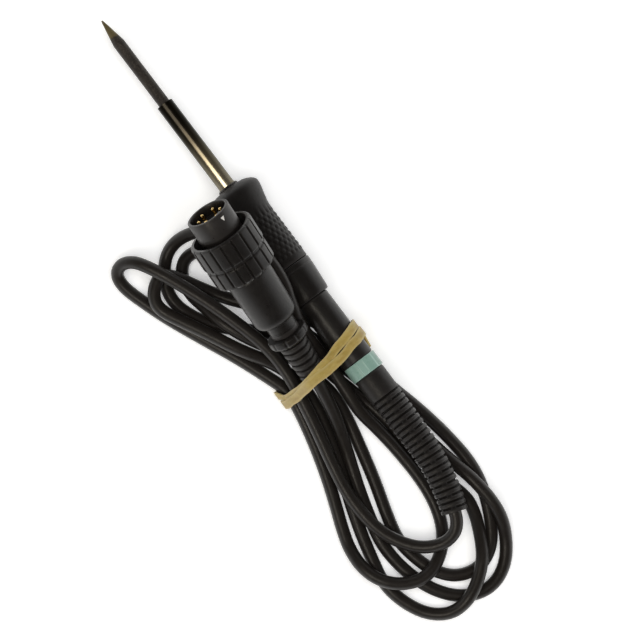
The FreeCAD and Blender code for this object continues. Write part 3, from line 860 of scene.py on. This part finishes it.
# ------------------------------------------------------------------ the handle
@dataclass
class Handle:
    """Grip, collar, tube, coloured ring and boot of the handpiece.

    Attributes:
        stock: The materials.
        flange: Radius of the finger flange in millimetres.
        grip: Radius of the grip.
        tube: Radius of the handle tube.
        ring: Radius of the coloured ring.
        pips_from: Station where the patch of grip pips starts.
        pips_to: Station where it ends.
        pip_lanes: Pips round one row.
        lane_width: Spacing of the pips round the grip.
        pip_pitch: Spacing of the rows of pips.
        pip_radius: Radius of a pip.
        pip_height: Height of a pip.
        ribs: Ribs of the boot.
        pitch: Spacing of the ribs.
    """

    stock: Stock
    flange: float = 9.8
    grip: float = 7.75
    tube: float = 5.75
    ring: float = 6.1
    pips_from: float = 85.4
    pips_to: float = 104.2
    pip_lanes: int = 24
    lane_width: float = 2.03
    pip_pitch: float = 2.05
    pip_radius: float = 0.86
    pip_height: float = 0.23
    ribs: int = 22
    pitch: float = 2.118
    boot_axis: BentAxis = field(default_factory=lambda: BentAxis(
        HAND.origin, HAND.along, HAND.side, HAND.up, 178.4, 0.01236))

    def sleeve(self) -> bpy.types.Object:
        """Build the soft grip: domed face, rounded flange, flare and a patch of pips.

        Returns:
            The grip sleeve.
        """
        def pips(station: float, angle: float, radius: float) -> float:
            """Raise the staggered round pips of the grip patch.

            Args:
                station: Place along the axis in millimetres.
                angle: Angle round the axis in radians.
                radius: Plain radius there in millimetres.

            Returns:
                The amount added to the radius in millimetres.
            """
            if not self.pips_from < station < self.pips_to or radius < 7.0:
                return 0.0
            row = (station - self.pips_from) / self.pip_pitch
            lane = angle * self.pip_lanes / (2 * math.pi) + (0.5 if int(row) % 2 else 0.0)
            du, dv = (row % 1.0) - 0.5, (lane % 1.0) - 0.5
            reach = math.sqrt((du * self.pip_pitch) ** 2 + (dv * self.lane_width) ** 2)
            if reach >= self.pip_radius:
                return 0.0
            return self.pip_height * (1.0 - (reach / self.pip_radius) ** 2) ** 0.8

        face = [(77.2, 4.8), (72.9, 4.8), (72.35, 5.1), (72.4, 5.9), (72.9, 7.2), (73.6, 8.4), (74.2, 9.1),
                (74.7, 9.52), (75.3, 9.74), (76.0, self.flange - 0.02), (76.8, 9.70), (78.4, 9.36),
                (80.5, 8.80), (82.5, 8.30), (84.3, 7.95), (86.0, self.grip)]
        body = dense([(86.0, self.grip), (103.8, self.grip)], 0.2)[1:]
        rear = [(104.6, self.grip - 0.02), (105.7, self.grip), (106.05, self.grip - 0.12),
                (106.15, self.grip - 0.4), (106.15, 5.2)]
        piece = Skin("grip_sleeve_moulded").turned(HAND, face + body + rear, 336, pips, closed=False).finish(
            self.stock["grip_rubber"], smooth_angle=50)
        return settle(piece, "handpiece", "grip_rubber", "grip_sleeve")

    def collar(self) -> bpy.types.Object:
        """Build the collar behind the grip with its fine groove.

        Returns:
            The collar.
        """
        profile = rounded([(106.32, 5.2), (106.32, 7.66), (106.6, 7.84), (108.4, 7.84), (108.5, 7.74),
                           (108.9, 7.74), (109.0, 7.80), (117.8, 7.05), (118.4, 6.98), (119.36, 6.75),
                           (119.38, 5.9), (119.36, 5.2)], 0.18, 3)
        piece = Skin("grip_collar_moulded").turned(HAND, profile, 128).finish(self.stock["black_plastic"])
        return settle(piece, "handpiece", "black_plastic", "grip_collar")

    def barrel(self) -> bpy.types.Object:
        """Build the smooth handle tube with a faint parting line on each side.

        Returns:
            The handle tube.
        """
        def seam(station: float, angle: float, radius: float) -> float:
            """Raise the faint parting line.

            Args:
                station: Place along the axis in millimetres.
                angle: Angle round the axis in radians.
                radius: Plain radius there in millimetres.

            Returns:
                The amount added to the radius in millimetres.
            """
            if not 119.6 < station < 145.5 or radius < 5.5:
                return 0.0
            near = min(abs(math.sin(angle / 2)), abs(math.cos(angle / 2)))
            return 0.05 if near < 0.012 else 0.0

        profile = [(96.4, 4.2), (96.4, 5.05), (119.3, 5.05), (119.45, 5.45), (119.9, self.tube - 0.03),
                   (120.5, self.tube), (144.9, self.tube), (145.4, self.tube - 0.1),
                   (145.55, self.tube - 0.3), (145.6, 4.6), (157.9, 4.55), (157.9, 4.1)]
        piece = Skin("handle_tube_moulded").turned(HAND, profile, 160, seam, closed=True).finish(
            self.stock["black_plastic"])
        return settle(piece, "handpiece", "black_plastic", "handle_tube")

    def marker(self) -> bpy.types.Object:
        """Build the coloured ring with the two fine ridges along its top.

        Returns:
            The ring.
        """
        def ridges(station: float, angle: float, radius: float) -> float:
            """Raise the two fine ridges along the ring's top.

            Args:
                station: Place along the axis in millimetres.
                angle: Angle round the axis in radians.
                radius: Plain radius there in millimetres.

            Returns:
                The amount added to the radius in millimetres.
            """
            if radius < 5.9 or not 145.95 < station < 151.0:
                return 0.0
            swell = 0.0
            for centre in (1.42, 1.80):
                away = abs(angle - centre)
                swell += 0.16 * max(0.0, 1.0 - (away / 0.055) ** 2)
            return swell

        section = rounded([(145.68, 4.8), (145.68, self.ring), (151.25, self.ring), (151.25, 4.8)], 0.22, 3)
        piece = Skin("id_ring_moulded").turned(HAND, dense(section, 0.8), 256, ridges, closed=True).finish(
            self.stock["ring_plastic"])
        return settle(piece, "handpiece", "ring_plastic", "id_ring")

    def boot(self) -> bpy.types.Object:
        """Build the bent strain relief: smooth head, then ribs joined by two pairs of webs.

        Returns:
            The boot.
        """
        first = 160.4
        profile: List[Station] = [(151.32, 4.8), (151.32, 5.35), (151.6, 5.6), (152.4, 5.66), (159.6, 5.62)]
        for k in range(self.ribs):
            share = (k + 1) / self.ribs
            top = 5.65 + (4.65 - 5.65) * share
            start = first + k * self.pitch
            profile += [(start + 0.02, top - 0.10), (start + 0.16, top - 0.62), (start + 0.42, top - 0.78),
                        (start + 0.66, top - 0.62), (start + 0.82, top - 0.12), (start + 1.0, top - 0.01),
                        (start + 1.5, top + 0.03), (start + 1.98, top - 0.01)]
        end = first + self.ribs * self.pitch
        profile += [(end - 0.1, 4.5), (end, 4.2), (end, 2.75), (end - 0.5, 2.4), (end - 1.6, 2.3)]

        def webs(station: float, angle: float, radius: float) -> float:
            """Fill two short webs in each groove, turned a quarter from one groove to the next.

            Args:
                station: Place along the axis in millimetres.
                angle: Angle round the axis in radians.
                radius: Plain radius there in millimetres.

            Returns:
                The amount added to the radius in millimetres.
            """
            place = (station - first) % self.pitch
            count = int((station - first) / self.pitch)
            if station < first or station > end - 0.2 or radius < 3.5 or not 0.08 < place < 0.75:
                return 0.0
            phase = angle + (math.pi / 2 if count % 2 else 0.0)
            hold = max(0.0, abs(math.cos(phase)) - 0.975) / 0.025
            return 0.45 * min(1.0, hold * 2.2)

        piece = Skin("cord_boot_moulded").turned(self.boot_axis, profile, 144, webs).finish(
            self.stock["boot_rubber"], smooth_angle=55)
        return settle(piece, "handpiece", "boot_rubber", "cord_boot")

    def build(self) -> None:
        """Build the handle's pieces from front to rear."""
        self.sleeve()
        self.collar()
        self.barrel()
        self.marker()
        self.boot()


# ------------------------------------------------------------------ the plug
@dataclass
class Plug:
    """The round station plug that is tied on top of the coil.

    Attributes:
        stock: The materials.
        shell: Radius of the nose in millimetres.
        bore: Radius of the nose's opening.
        ring: Radius of the coupling ring.
        ring_ribs: Wide grip ribs round the ring.
        pin_circle: Radius of the circle of contacts.
        pins: Number of contacts.
        key_angle: Angle of the key mark in degrees from the side towards up.
    """

    stock: Stock
    shell: float = 7.7
    bore: float = 6.6
    ring: float = 11.5
    ring_ribs: int = 18
    pin_circle: float = 4.2
    pins: int = 6
    key_angle: float = 64.0

    def nose(self) -> bpy.types.Object:
        """Build the nose with its rounded rim and a raised key inside its opening.

        Returns:
            The nose.
        """
        def keyway(station: float, angle: float, radius: float) -> float:
            """Leave the raised key inside the opening.

            Args:
                station: Place along the axis in millimetres.
                angle: Angle round the axis in radians.
                radius: Plain radius there in millimetres.

            Returns:
                The amount added to the radius in millimetres.
            """
            if radius > self.bore + 0.3 or station > 3.5:
                return 0.0
            away = abs((angle - math.radians(self.key_angle) + math.pi) % (2 * math.pi) - math.pi)
            return -0.55 if away < 0.14 else 0.0

        profile = [(3.7, self.bore), (1.9, self.bore), (0.35, self.bore), (0.08, self.bore + 0.14),
                   (0.0, self.bore + 0.35), (0.0, self.shell - 0.3), (0.1, self.shell - 0.08),
                   (0.32, self.shell), (7.7, self.shell), (7.75, 7.5), (17.6, 7.5), (17.65, 9.4), (20.0, 9.4),
                   (20.05, 7.5), (27.0, 7.5), (27.0, self.bore)]
        piece = Skin("plug_nose_moulded").turned(PLUG, profile, 180, keyway, closed=True).finish(
            self.stock["plug_plastic"])
        return settle(piece, "handpiece", "plug_plastic", "plug_shell")

    def key_mark(self) -> bpy.types.Object:
        """Build the small pale triangle that shows where the key is.

        Returns:
            The mark.
        """
        mark = Skin("plug_key_mark")
        middle = math.radians(self.key_angle)
        corners = [(1.5, -0.095), (1.5, 0.095), (3.1, 0.0)]
        low = [PLUG.at(s, self.shell - 0.02, middle + a) for s, a in corners]
        high = [PLUG.at(s, self.shell + 0.05, middle + a) for s, a in corners]
        piece = mark.loft([low, high]).finish(self.stock["mark_paint"])
        return settle(piece, "handpiece", "plug_plastic")

    def face(self) -> bpy.types.Object:
        """Build the contact carrier with its raised land.

        Returns:
            The contact carrier.
        """
        skin = Skin("contact_carrier_moulded")
        skin.turned(PLUG, [(3.9, 0.02), (3.62, 0.05), (3.58, 1.5), (3.72, 1.62), (3.72, 5.4), (3.58, 5.55),
                           (3.6, 6.25), (3.85, 6.5), (21.9, 6.5), (21.9, 0.05)], 96)
        piece = skin.finish(self.stock["plug_plastic"])
        return settle(piece, "handpiece", "plug_plastic", "pin_insulator")

    def contacts(self) -> bpy.types.Object:
        """Build the round-nosed contacts, each with a small collar at its foot.

        Returns:
            The contacts.
        """
        skin = Skin("contact_pins_turned")
        for k in range(self.pins):
            angle = 2 * math.pi * k / self.pins
            foot = PLUG.at(0.0, self.pin_circle, angle)
            own = Axis(foot, PLUG.along, PLUG.side, PLUG.up)
            skin.turned(own, [(0.86, 0.02), (0.88, 0.2), (0.98, 0.42), (1.15, 0.55), (1.4, 0.6), (3.35, 0.6),
                              (3.4, 0.78), (3.74, 0.80), (3.78, 0.60), (26.0, 0.6)], 32)
        piece = skin.finish(self.stock["gold"])
        return settle(piece, "handpiece", "gold", "contact_pins")

    def coupling(self) -> bpy.types.Object:
        """Build the coupling ring: wide ribs in two rows and a scalloped rear edge.

        Returns:
            The coupling ring.
        """
        def ribs(station: float, angle: float, radius: float) -> float:
            """Cut the gaps between the ring's wide ribs and scallop its rear edge.

            Args:
                station: Place along the axis in millimetres.
                angle: Angle round the axis in radians.
                radius: Plain radius there in millimetres.

            Returns:
                The amount added to the radius in millimetres.
            """
            if radius < 10.4:
                return 0.0
            turn = (angle * self.ring_ribs / (2 * math.pi) + 0.35) % 1.0
            gap = max(0.0, 1.0 - abs(turn - 0.5) / 0.115)
            deep = min(1.0, gap * 1.8)
            if station < 8.7 or 16.9 < station < 18.1:
                return -0.18 * deep
            if station > 18.0:
                crown = 0.5 + 0.5 * math.cos(2 * math.pi * (turn - 0.5))
                return -0.62 * deep - (0.55 * crown if station > 24.2 else 0.0)
            return -0.62 * deep

        outer = rounded([(8.0, 10.05), (8.0, 11.0), (8.55, self.ring), (16.55, self.ring), (16.95, 11.1),
                         (17.0, 10.75), (18.0, 10.75), (18.05, 11.05), (18.45, 11.2), (24.3, 11.15),
                         (25.0, 10.6), (25.0, 10.05)], 0.16, 3)
        profile = dense(outer, 0.7) + [(22.55, 10.02), (22.5, 7.85), (20.35, 7.85), (20.3, 10.02)]
        piece = Skin("coupling_ring_moulded").turned(PLUG, profile, 420, ribs, closed=True).finish(
            self.stock["plug_plastic"], smooth_angle=38)
        return settle(piece, "coupling", "plug_plastic", "coupling_ring")

    def backshell(self) -> bpy.types.Object:
        """Build the smooth backshell with its rounded end and its neck.

        Returns:
            The backshell.
        """
        profile: List[Station] = [(25.45, 7.66), (25.45, 7.95), (25.8, 8.15), (26.6, 8.2), (42.6, 7.84)]
        for k in range(1, 9):
            turn = math.pi / 2 * k / 8
            profile.append((42.9 + 2.8 * math.sin(turn), 5.55 + 2.25 * math.cos(turn)))
        profile += [(46.0, 5.2), (47.2, 5.12), (48.6, 5.12), (48.8, 4.95), (49.2, 4.95), (49.4, 5.12),
                    (50.9, 5.12), (50.9, 2.4), (27.2, 2.4), (27.0, 7.66)]
        piece = Skin("plug_backshell_moulded").turned(PLUG, profile, 128, closed=True).finish(
            self.stock["plug_plastic"], smooth_angle=32)
        return settle(piece, "handpiece", "plug_plastic", "backshell")

    def gland(self) -> bpy.types.Object:
        """Build the gland disc with its notched rim.

        Returns:
            The gland disc.
        """
        def notches(station: float, angle: float, radius: float) -> float:
            """Cut the small notches of the rim.

            Args:
                station: Place along the axis in millimetres; not used.
                angle: Angle round the axis in radians.
                radius: Plain radius there in millimetres.

            Returns:
                The amount added to the radius in millimetres.
            """
            return -0.28 * max(0.0, math.cos(10 * angle)) ** 6 if radius > 6.5 else 0.0

        profile = rounded([(51.05, 2.4), (51.05, 6.9), (51.5, 7.35), (53.5, 7.4), (54.45, 6.5), (54.6, 5.0),
                           (54.6, 2.4)], 0.5, 4)
        skin = Skin("plug_gland_moulded").turned(PLUG, dense(profile, 0.8), 200, notches, closed=True)
        return settle(skin.finish(self.stock["plug_plastic"]), "handpiece", "plug_plastic", "cord_nut")

    def boot(self) -> bpy.types.Object:
        """Build the stepped strain relief behind the plug.

        Returns:
            The strain relief.
        """
        start, end, steps = 54.75, 69.7, 6
        pitch = (end - start) / steps
        profile: List[Station] = [(start, 2.4)]
        for k in range(steps):
            top = 5.15 - 0.55 * k / (steps - 1)
            at = start + k * pitch
            profile += [(at + 0.02, top - 0.85), (at + 0.5, top - 0.8), (at + 0.7, top - 0.12),
                        (at + 0.95, top), (at + 1.6, top + 0.02), (at + 2.15, top - 0.06),
                        (at + 2.4, top - 0.8)]
        profile += [(end, 3.4), (end, 2.35)]
        piece = Skin("plug_boot_moulded").turned(PLUG, profile, 112, closed=True).finish(
            self.stock["boot_rubber"], smooth_angle=55)
        return settle(piece, "handpiece", "boot_rubber", "plug_boot")

    def build(self) -> List[bpy.types.Object]:
        """Build the plug's pieces from nose to boot.

        Returns:
            The pieces, which all lie on the cord.
        """
        return [self.nose(), self.key_mark(), self.face(), self.contacts(), self.coupling(), self.backshell(),
                self.gland(), self.boot()]


# ------------------------------------------------------------------ cord and band
@dataclass
class Lead:
    """The tied cord: one smooth line from the boot through the hank to the plug.

    Attributes:
        stock: The materials.
        diameter: The cord's diameter in metres.
        length: The cord's real length in metres; not used.
    """

    stock: Stock
    diameter: float = 0.0045
    length: float = 1.4891

    def line(self) -> List[Tuple[float, float, float]]:
        """Give the points that the cord is laid by, in metres.

        Returns:
            The boot's end, the route and the plug's end.
        """
        return [BOOT_EXIT, *ROUTE, PLUG_END]

    def build(self) -> bpy.types.Object:
        """Build the cord as a smooth curve with a round section.

        Returns:
            The cord.
        """
        data = bpy.data.curves.new("tied_cord", "CURVE")
        data.dimensions = "3D"
        line = data.splines.new("NURBS")
        points = self.line()
        line.points.add(len(points) - 1)
        for control, place in zip(line.points, points):
            control.co = (*place, 1.0)
        line.order_u = 3
        line.use_endpoint_u = True
        data.resolution_u = 8
        data.bevel_depth = self.diameter / 2
        data.bevel_resolution = 6
        data.use_fill_caps = True
        data.materials.append(self.stock["cord_silicone"])
        piece = bpy.data.objects.new("tied_cord", data)
        bpy.context.scene.collection.objects.link(piece)
        return settle(piece, "handpiece", "cord_silicone", "cord")


@dataclass
class Strip:
    """One pass of the rubber band round everything that it ties.

    Attributes:
        name: The strip's name.
        top: Places of its middle line over the top, as across and along values in millimetres.
        under: Place of its middle line underneath, in millimetres.
        width: Width in millimetres.
        lift: How far it stands above what it lies on, in millimetres.
        wander: Offset for its own small waves.
    """

    name: str
    top: Sequence[Tuple[float, float]]
    under: float
    width: float
    lift: float
    wander: float

    def along(self, across: float, over: float) -> float:
        """Give where the strip's middle lies along the handle.

        Args:
            across: Place across the bundle in millimetres.
            over: One on the top run and zero on the bottom run.

        Returns:
            The place along the handle in millimetres.
        """
        stops = self.top
        place = stops[0][1]
        if across >= stops[-1][0]:
            place = stops[-1][1]
        for (y0, x0), (y1, x1) in zip(stops, stops[1:]):
            if y0 <= across < y1:
                t = (across - y0) / (y1 - y0)
                place = x0 + (x1 - x0) * t
        return self.under + (place - self.under) * over


@dataclass
class Band:
    """The rubber band that ties handle, hank and plug, doubled into two strips.

    Attributes:
        stock: The materials.
        tied: Across, height and radius of what it goes round, in millimetres.
        thick: Thickness of the band.
        rays: Directions in which the tight loop is felt out.
        steps: Places round the loop.
    """

    stock: Stock
    tied: Sequence[Tuple[float, float, float]] = (
        (-26.8, 3.3, 2.45), (-24.0, 7.9, 2.6), (-15.0, 17.0, 5.1), (0.0, 11.58, 6.3), (-1.1, 3.3, 2.45))
    thick: float = 0.62
    rays: int = 1440
    steps: int = 300

    def outline(self) -> List[Tuple[float, float, float]]:
        """Work out the tight loop round the tied circles.

        Returns:
            Across and height in millimetres with the outward angle, evenly spaced.
        """
        raw = []
        for k in range(self.rays):
            angle = 2 * math.pi * k / self.rays
            y, z, r = max(self.tied, key=lambda c: c[0] * math.cos(angle) + c[1] * math.sin(angle) + c[2])
            raw.append(Vector((y + r * math.cos(angle), z + r * math.sin(angle), angle)))
        raw.append(raw[0].copy())
        raw[-1].z = 2 * math.pi
        lengths = [0.0]
        for a, b in zip(raw, raw[1:]):
            lengths.append(lengths[-1] + math.hypot(b.x - a.x, b.y - a.y))
        result, j = [], 0
        for k in range(self.steps):
            want = lengths[-1] * k / self.steps
            while lengths[j + 1] < want:
                j += 1
            t = (want - lengths[j]) / max(1e-9, lengths[j + 1] - lengths[j])
            result.append(tuple(raw[j].lerp(raw[j + 1], t)))
        return result

    def strip(self, kind: Strip) -> bpy.types.Object:
        """Build one strip of the band.

        Args:
            kind: The strip's places and width.

        Returns:
            The strip.
        """
        loop = self.outline()
        rings = []
        for k, (y, z, angle) in enumerate(loop):
            normal = Vector((0.0, math.cos(angle), math.sin(angle)))
            turn = 2 * math.pi * k / self.steps
            over = min(1.0, max(0.0, (z - 3.0) / 5.0)) if math.sin(angle) > -0.4 else 0.0
            over = over * over * (3 - 2 * over)
            wave = 0.16 * math.sin(5 * turn + kind.wander) + 0.10 * math.sin(11 * turn + 2 * kind.wander)
            middle = kind.along(y, over) + wave
            width = kind.width * (1.0 + 0.05 * math.sin(3 * turn + kind.wander))
            curl = 0.10 * math.sin(2 * turn + kind.wander)
            ring = []
            for u, v in ((-0.5, -0.35), (-0.46, -0.5), (-0.2, -0.5), (0.2, -0.5), (0.46, -0.5), (0.5, -0.35),
                         (0.5, 0.35), (0.46, 0.5), (0.2, 0.53), (-0.2, 0.53), (-0.46, 0.5), (-0.5, 0.35)):
                height = 0.12 + self.thick * (v + 0.5) + kind.lift * over + curl * max(0.0, u) * 2
                place = Vector((middle + u * width, y, z)) + normal * height
                ring.append(place * MM)
            rings.append(ring)
        piece = Skin(kind.name).loft(rings, closed=True).finish(self.stock["band_rubber"], smooth_angle=60)
        return settle(piece, "handpiece", "band_rubber", "rubber_band")

    def build(self) -> List[bpy.types.Object]:
        """Build both strips.

        Returns:
            The strips.
        """
        kinds = (
            Strip("rubber_band_lower_strip",
                  ((-28.5, 37.2), (-19.6, 37.7), (-15.0, 36.2), (-7.0, 34.7), (-1.3, 33.3), (3.5, 31.9),
                   (6.6, 30.6)), under=34.6, width=3.1, lift=0.0, wander=0.4),
            Strip("rubber_band_upper_strip",
                  ((-28.5, 39.4), (-19.6, 38.2), (-15.0, 38.0), (-7.0, 37.5), (-1.3, 36.6), (3.5, 35.6),
                   (6.6, 34.0)), under=38.4, width=3.3, lift=0.45, wander=2.1))
        return [self.strip(kind) for kind in kinds]


# ------------------------------------------------------------------ what the frame keeps
INSIDE: Dict[str, str] = {
    "heater_core": "ceramic", "heater_winding": "winding", "temperature_sensor": "plain_steel",
    "ceramic_bush": "ceramic", "earth_spring_washer": "plain_steel", "front_insert": "black_plastic",
    "terminal_board": "board", "terminal_tags": "gold", "lead_wires": "copper_lead",
    "cord_jacket_end": "cord_silicone", "cord_clamp": "plain_steel", "plug_seal": "boot_rubber",
    "retaining_clip": "plain_steel", "crimp_sleeve": "copper_lead", "plug_cord_end": "cord_silicone",
}


def dress_inside(stock: Stock) -> None:
    """Give each kept CAD node its own finish.

    Args:
        stock: The materials.
    """
    for name, finish in INSIDE.items():
        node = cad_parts[name]
        for place in node.material_slots:
            place.material = stock[finish]
        log.info("%s keeps its shape, in %s", name, finish)


# ------------------------------------------------------------------ studio
@dataclass
class Studio:
    """Pale floor, soft lights and the camera above.

    Attributes:
        floor_size: Side of the floor in metres.
        floor_drop: Height of the floor, a hair under the table plane, in metres.
        camera_turn: Turn of the camera about the upright, in degrees.
        lens: Focal length in millimetres.
        floor_glow: Light that the floor gives of itself, as a light table does.
        stand: Where the camera stands, in metres.
    """

    floor_size: float = 6.0
    floor_drop: float = -0.0001
    camera_turn: float = 52.9
    lens: float = 165.0
    floor_glow: float = 0.30
    stand: Tuple[float, float, float] = (0.0227, -0.0022, 1.011)

    def camera(self) -> None:
        """Stand the camera straight above the object."""
        data = bpy.data.cameras.new("overhead")
        data.lens = self.lens
        data.sensor_width = 36.0
        data.clip_start, data.clip_end = 0.05, 20.0
        camera = bpy.data.objects.new("overhead", data)
        camera.location = self.stand
        camera.rotation_euler = (0.0, 0.0, math.radians(self.camera_turn))
        bpy.context.scene.collection.objects.link(camera)
        bpy.context.scene.camera = camera

    def floor(self) -> None:
        """Lay the pale floor."""
        weave = Weave("studio_floor")
        tone = weave.ramp(weave.cloud(3.0, 3.0), ((0.2, (0.93, 0.93, 0.925)), (0.8, (0.95, 0.95, 0.945))))
        weave.link(tone, weave.shader.inputs["Base Color"])
        weave.shader.inputs["Roughness"].default_value = 0.9
        weave.shader.inputs["Specular IOR Level"].default_value = 0.1
        weave.shader.inputs["Emission Color"].default_value = (1.0, 1.0, 1.0, 1.0)
        weave.shader.inputs["Emission Strength"].default_value = self.floor_glow
        skin = Skin("studio_floor")
        half = self.floor_size / 2
        outline = ((-half, -half), (half, -half), (half, half), (-half, half))
        corners = [Vector((x, y, self.floor_drop)) for x, y in outline]
        skin.mesh.faces.new([skin.mesh.verts.new(p) for p in corners])
        skin.finish(weave.material)

    def light(self, name: str, place: Sequence[float], size: float, power: float,
              colour: Tuple[float, float, float] = (1.0, 1.0, 1.0), seen: bool = True) -> bpy.types.Object:
        """Hang a square softbox that looks at the object.

        Args:
            name: The light's name.
            place: Where it hangs, in metres.
            size: Side of the box in metres.
            power: Power in watts.
            colour: Colour of its light.
            seen: Whether gloss shows it.

        Returns:
            The light.
        """
        data = bpy.data.lights.new(name, "AREA")
        data.shape, data.size, data.energy, data.color = "SQUARE", size, power, colour
        lamp = bpy.data.objects.new(name, data)
        lamp.location = place
        lamp.rotation_euler = (Vector((0, -0.01, 0.01)) - Vector(place)).to_track_quat("-Z", "Y").to_euler()
        lamp.visible_glossy = seen
        bpy.context.scene.collection.objects.link(lamp)
        return lamp

    def pick_out(self, piece: bpy.types.Object) -> None:
        """Give one piece a lamp of its own, which lights nothing else.

        Args:
            piece: The piece to light.
        """
        group = bpy.data.collections.new("picked_out")
        group.objects.link(piece)
        lamp = self.light("barrel_lamp", (0.0, -0.26, 0.95), size=0.66, power=24.0, colour=(1.0, 0.93, 0.82))
        lamp.light_linking.receiver_collection = group

    def sky(self) -> None:
        """Make the room: white round the sides and dark above."""
        world = bpy.data.worlds.new("studio_room")
        world.use_nodes = True
        tree = world.node_tree
        tree.nodes.clear()
        out = tree.nodes.new("ShaderNodeOutputWorld")
        back = tree.nodes.new("ShaderNodeBackground")
        place = tree.nodes.new("ShaderNodeTexCoord")
        split = tree.nodes.new("ShaderNodeSeparateXYZ")
        ramp = tree.nodes.new("ShaderNodeValToRGB")
        stops = ramp.color_ramp.elements
        stops[0].position, stops[0].color = 0.12, (1.0, 1.0, 1.0, 1.0)
        stops[1].position, stops[1].color = 0.55, (0.012, 0.0105, 0.0095, 1.0)
        tree.links.new(place.outputs["Generated"], split.inputs["Vector"])
        tree.links.new(split.outputs["Z"], ramp.inputs["Fac"])
        tree.links.new(ramp.outputs["Color"], back.inputs["Color"])
        back.inputs["Strength"].default_value = 1.0
        tree.links.new(back.outputs["Background"], out.inputs["Surface"])
        bpy.context.scene.world = world

    def build(self) -> None:
        """Set up camera, floor, room and lights."""
        bpy.context.scene.view_settings.view_transform = "Standard"
        self.camera()
        self.floor()
        self.sky()
        self.light("overhead_softbox", (0.1, 0.1, 1.9), size=1.6, power=30.0, seen=False)
        self.light("warm_key_lamp", (0.10, -0.50, 0.90), size=0.42, power=1.7, colour=(1.0, 0.93, 0.80))


def main() -> None:
    """Build the handpiece, its cord and plug, and the studio round them."""
    stock = Stock()
    studio = Studio()
    studio.build()
    lead = Lead(stock)
    cord = lead.build()
    plug = Plug(stock).build()
    band = Band(stock).build()
    barrel = WorkingEnd(stock).build()
    Handle(stock).build()
    dress_inside(stock)
    studio.pick_out(barrel)


if __name__ == "__main__":
    main()
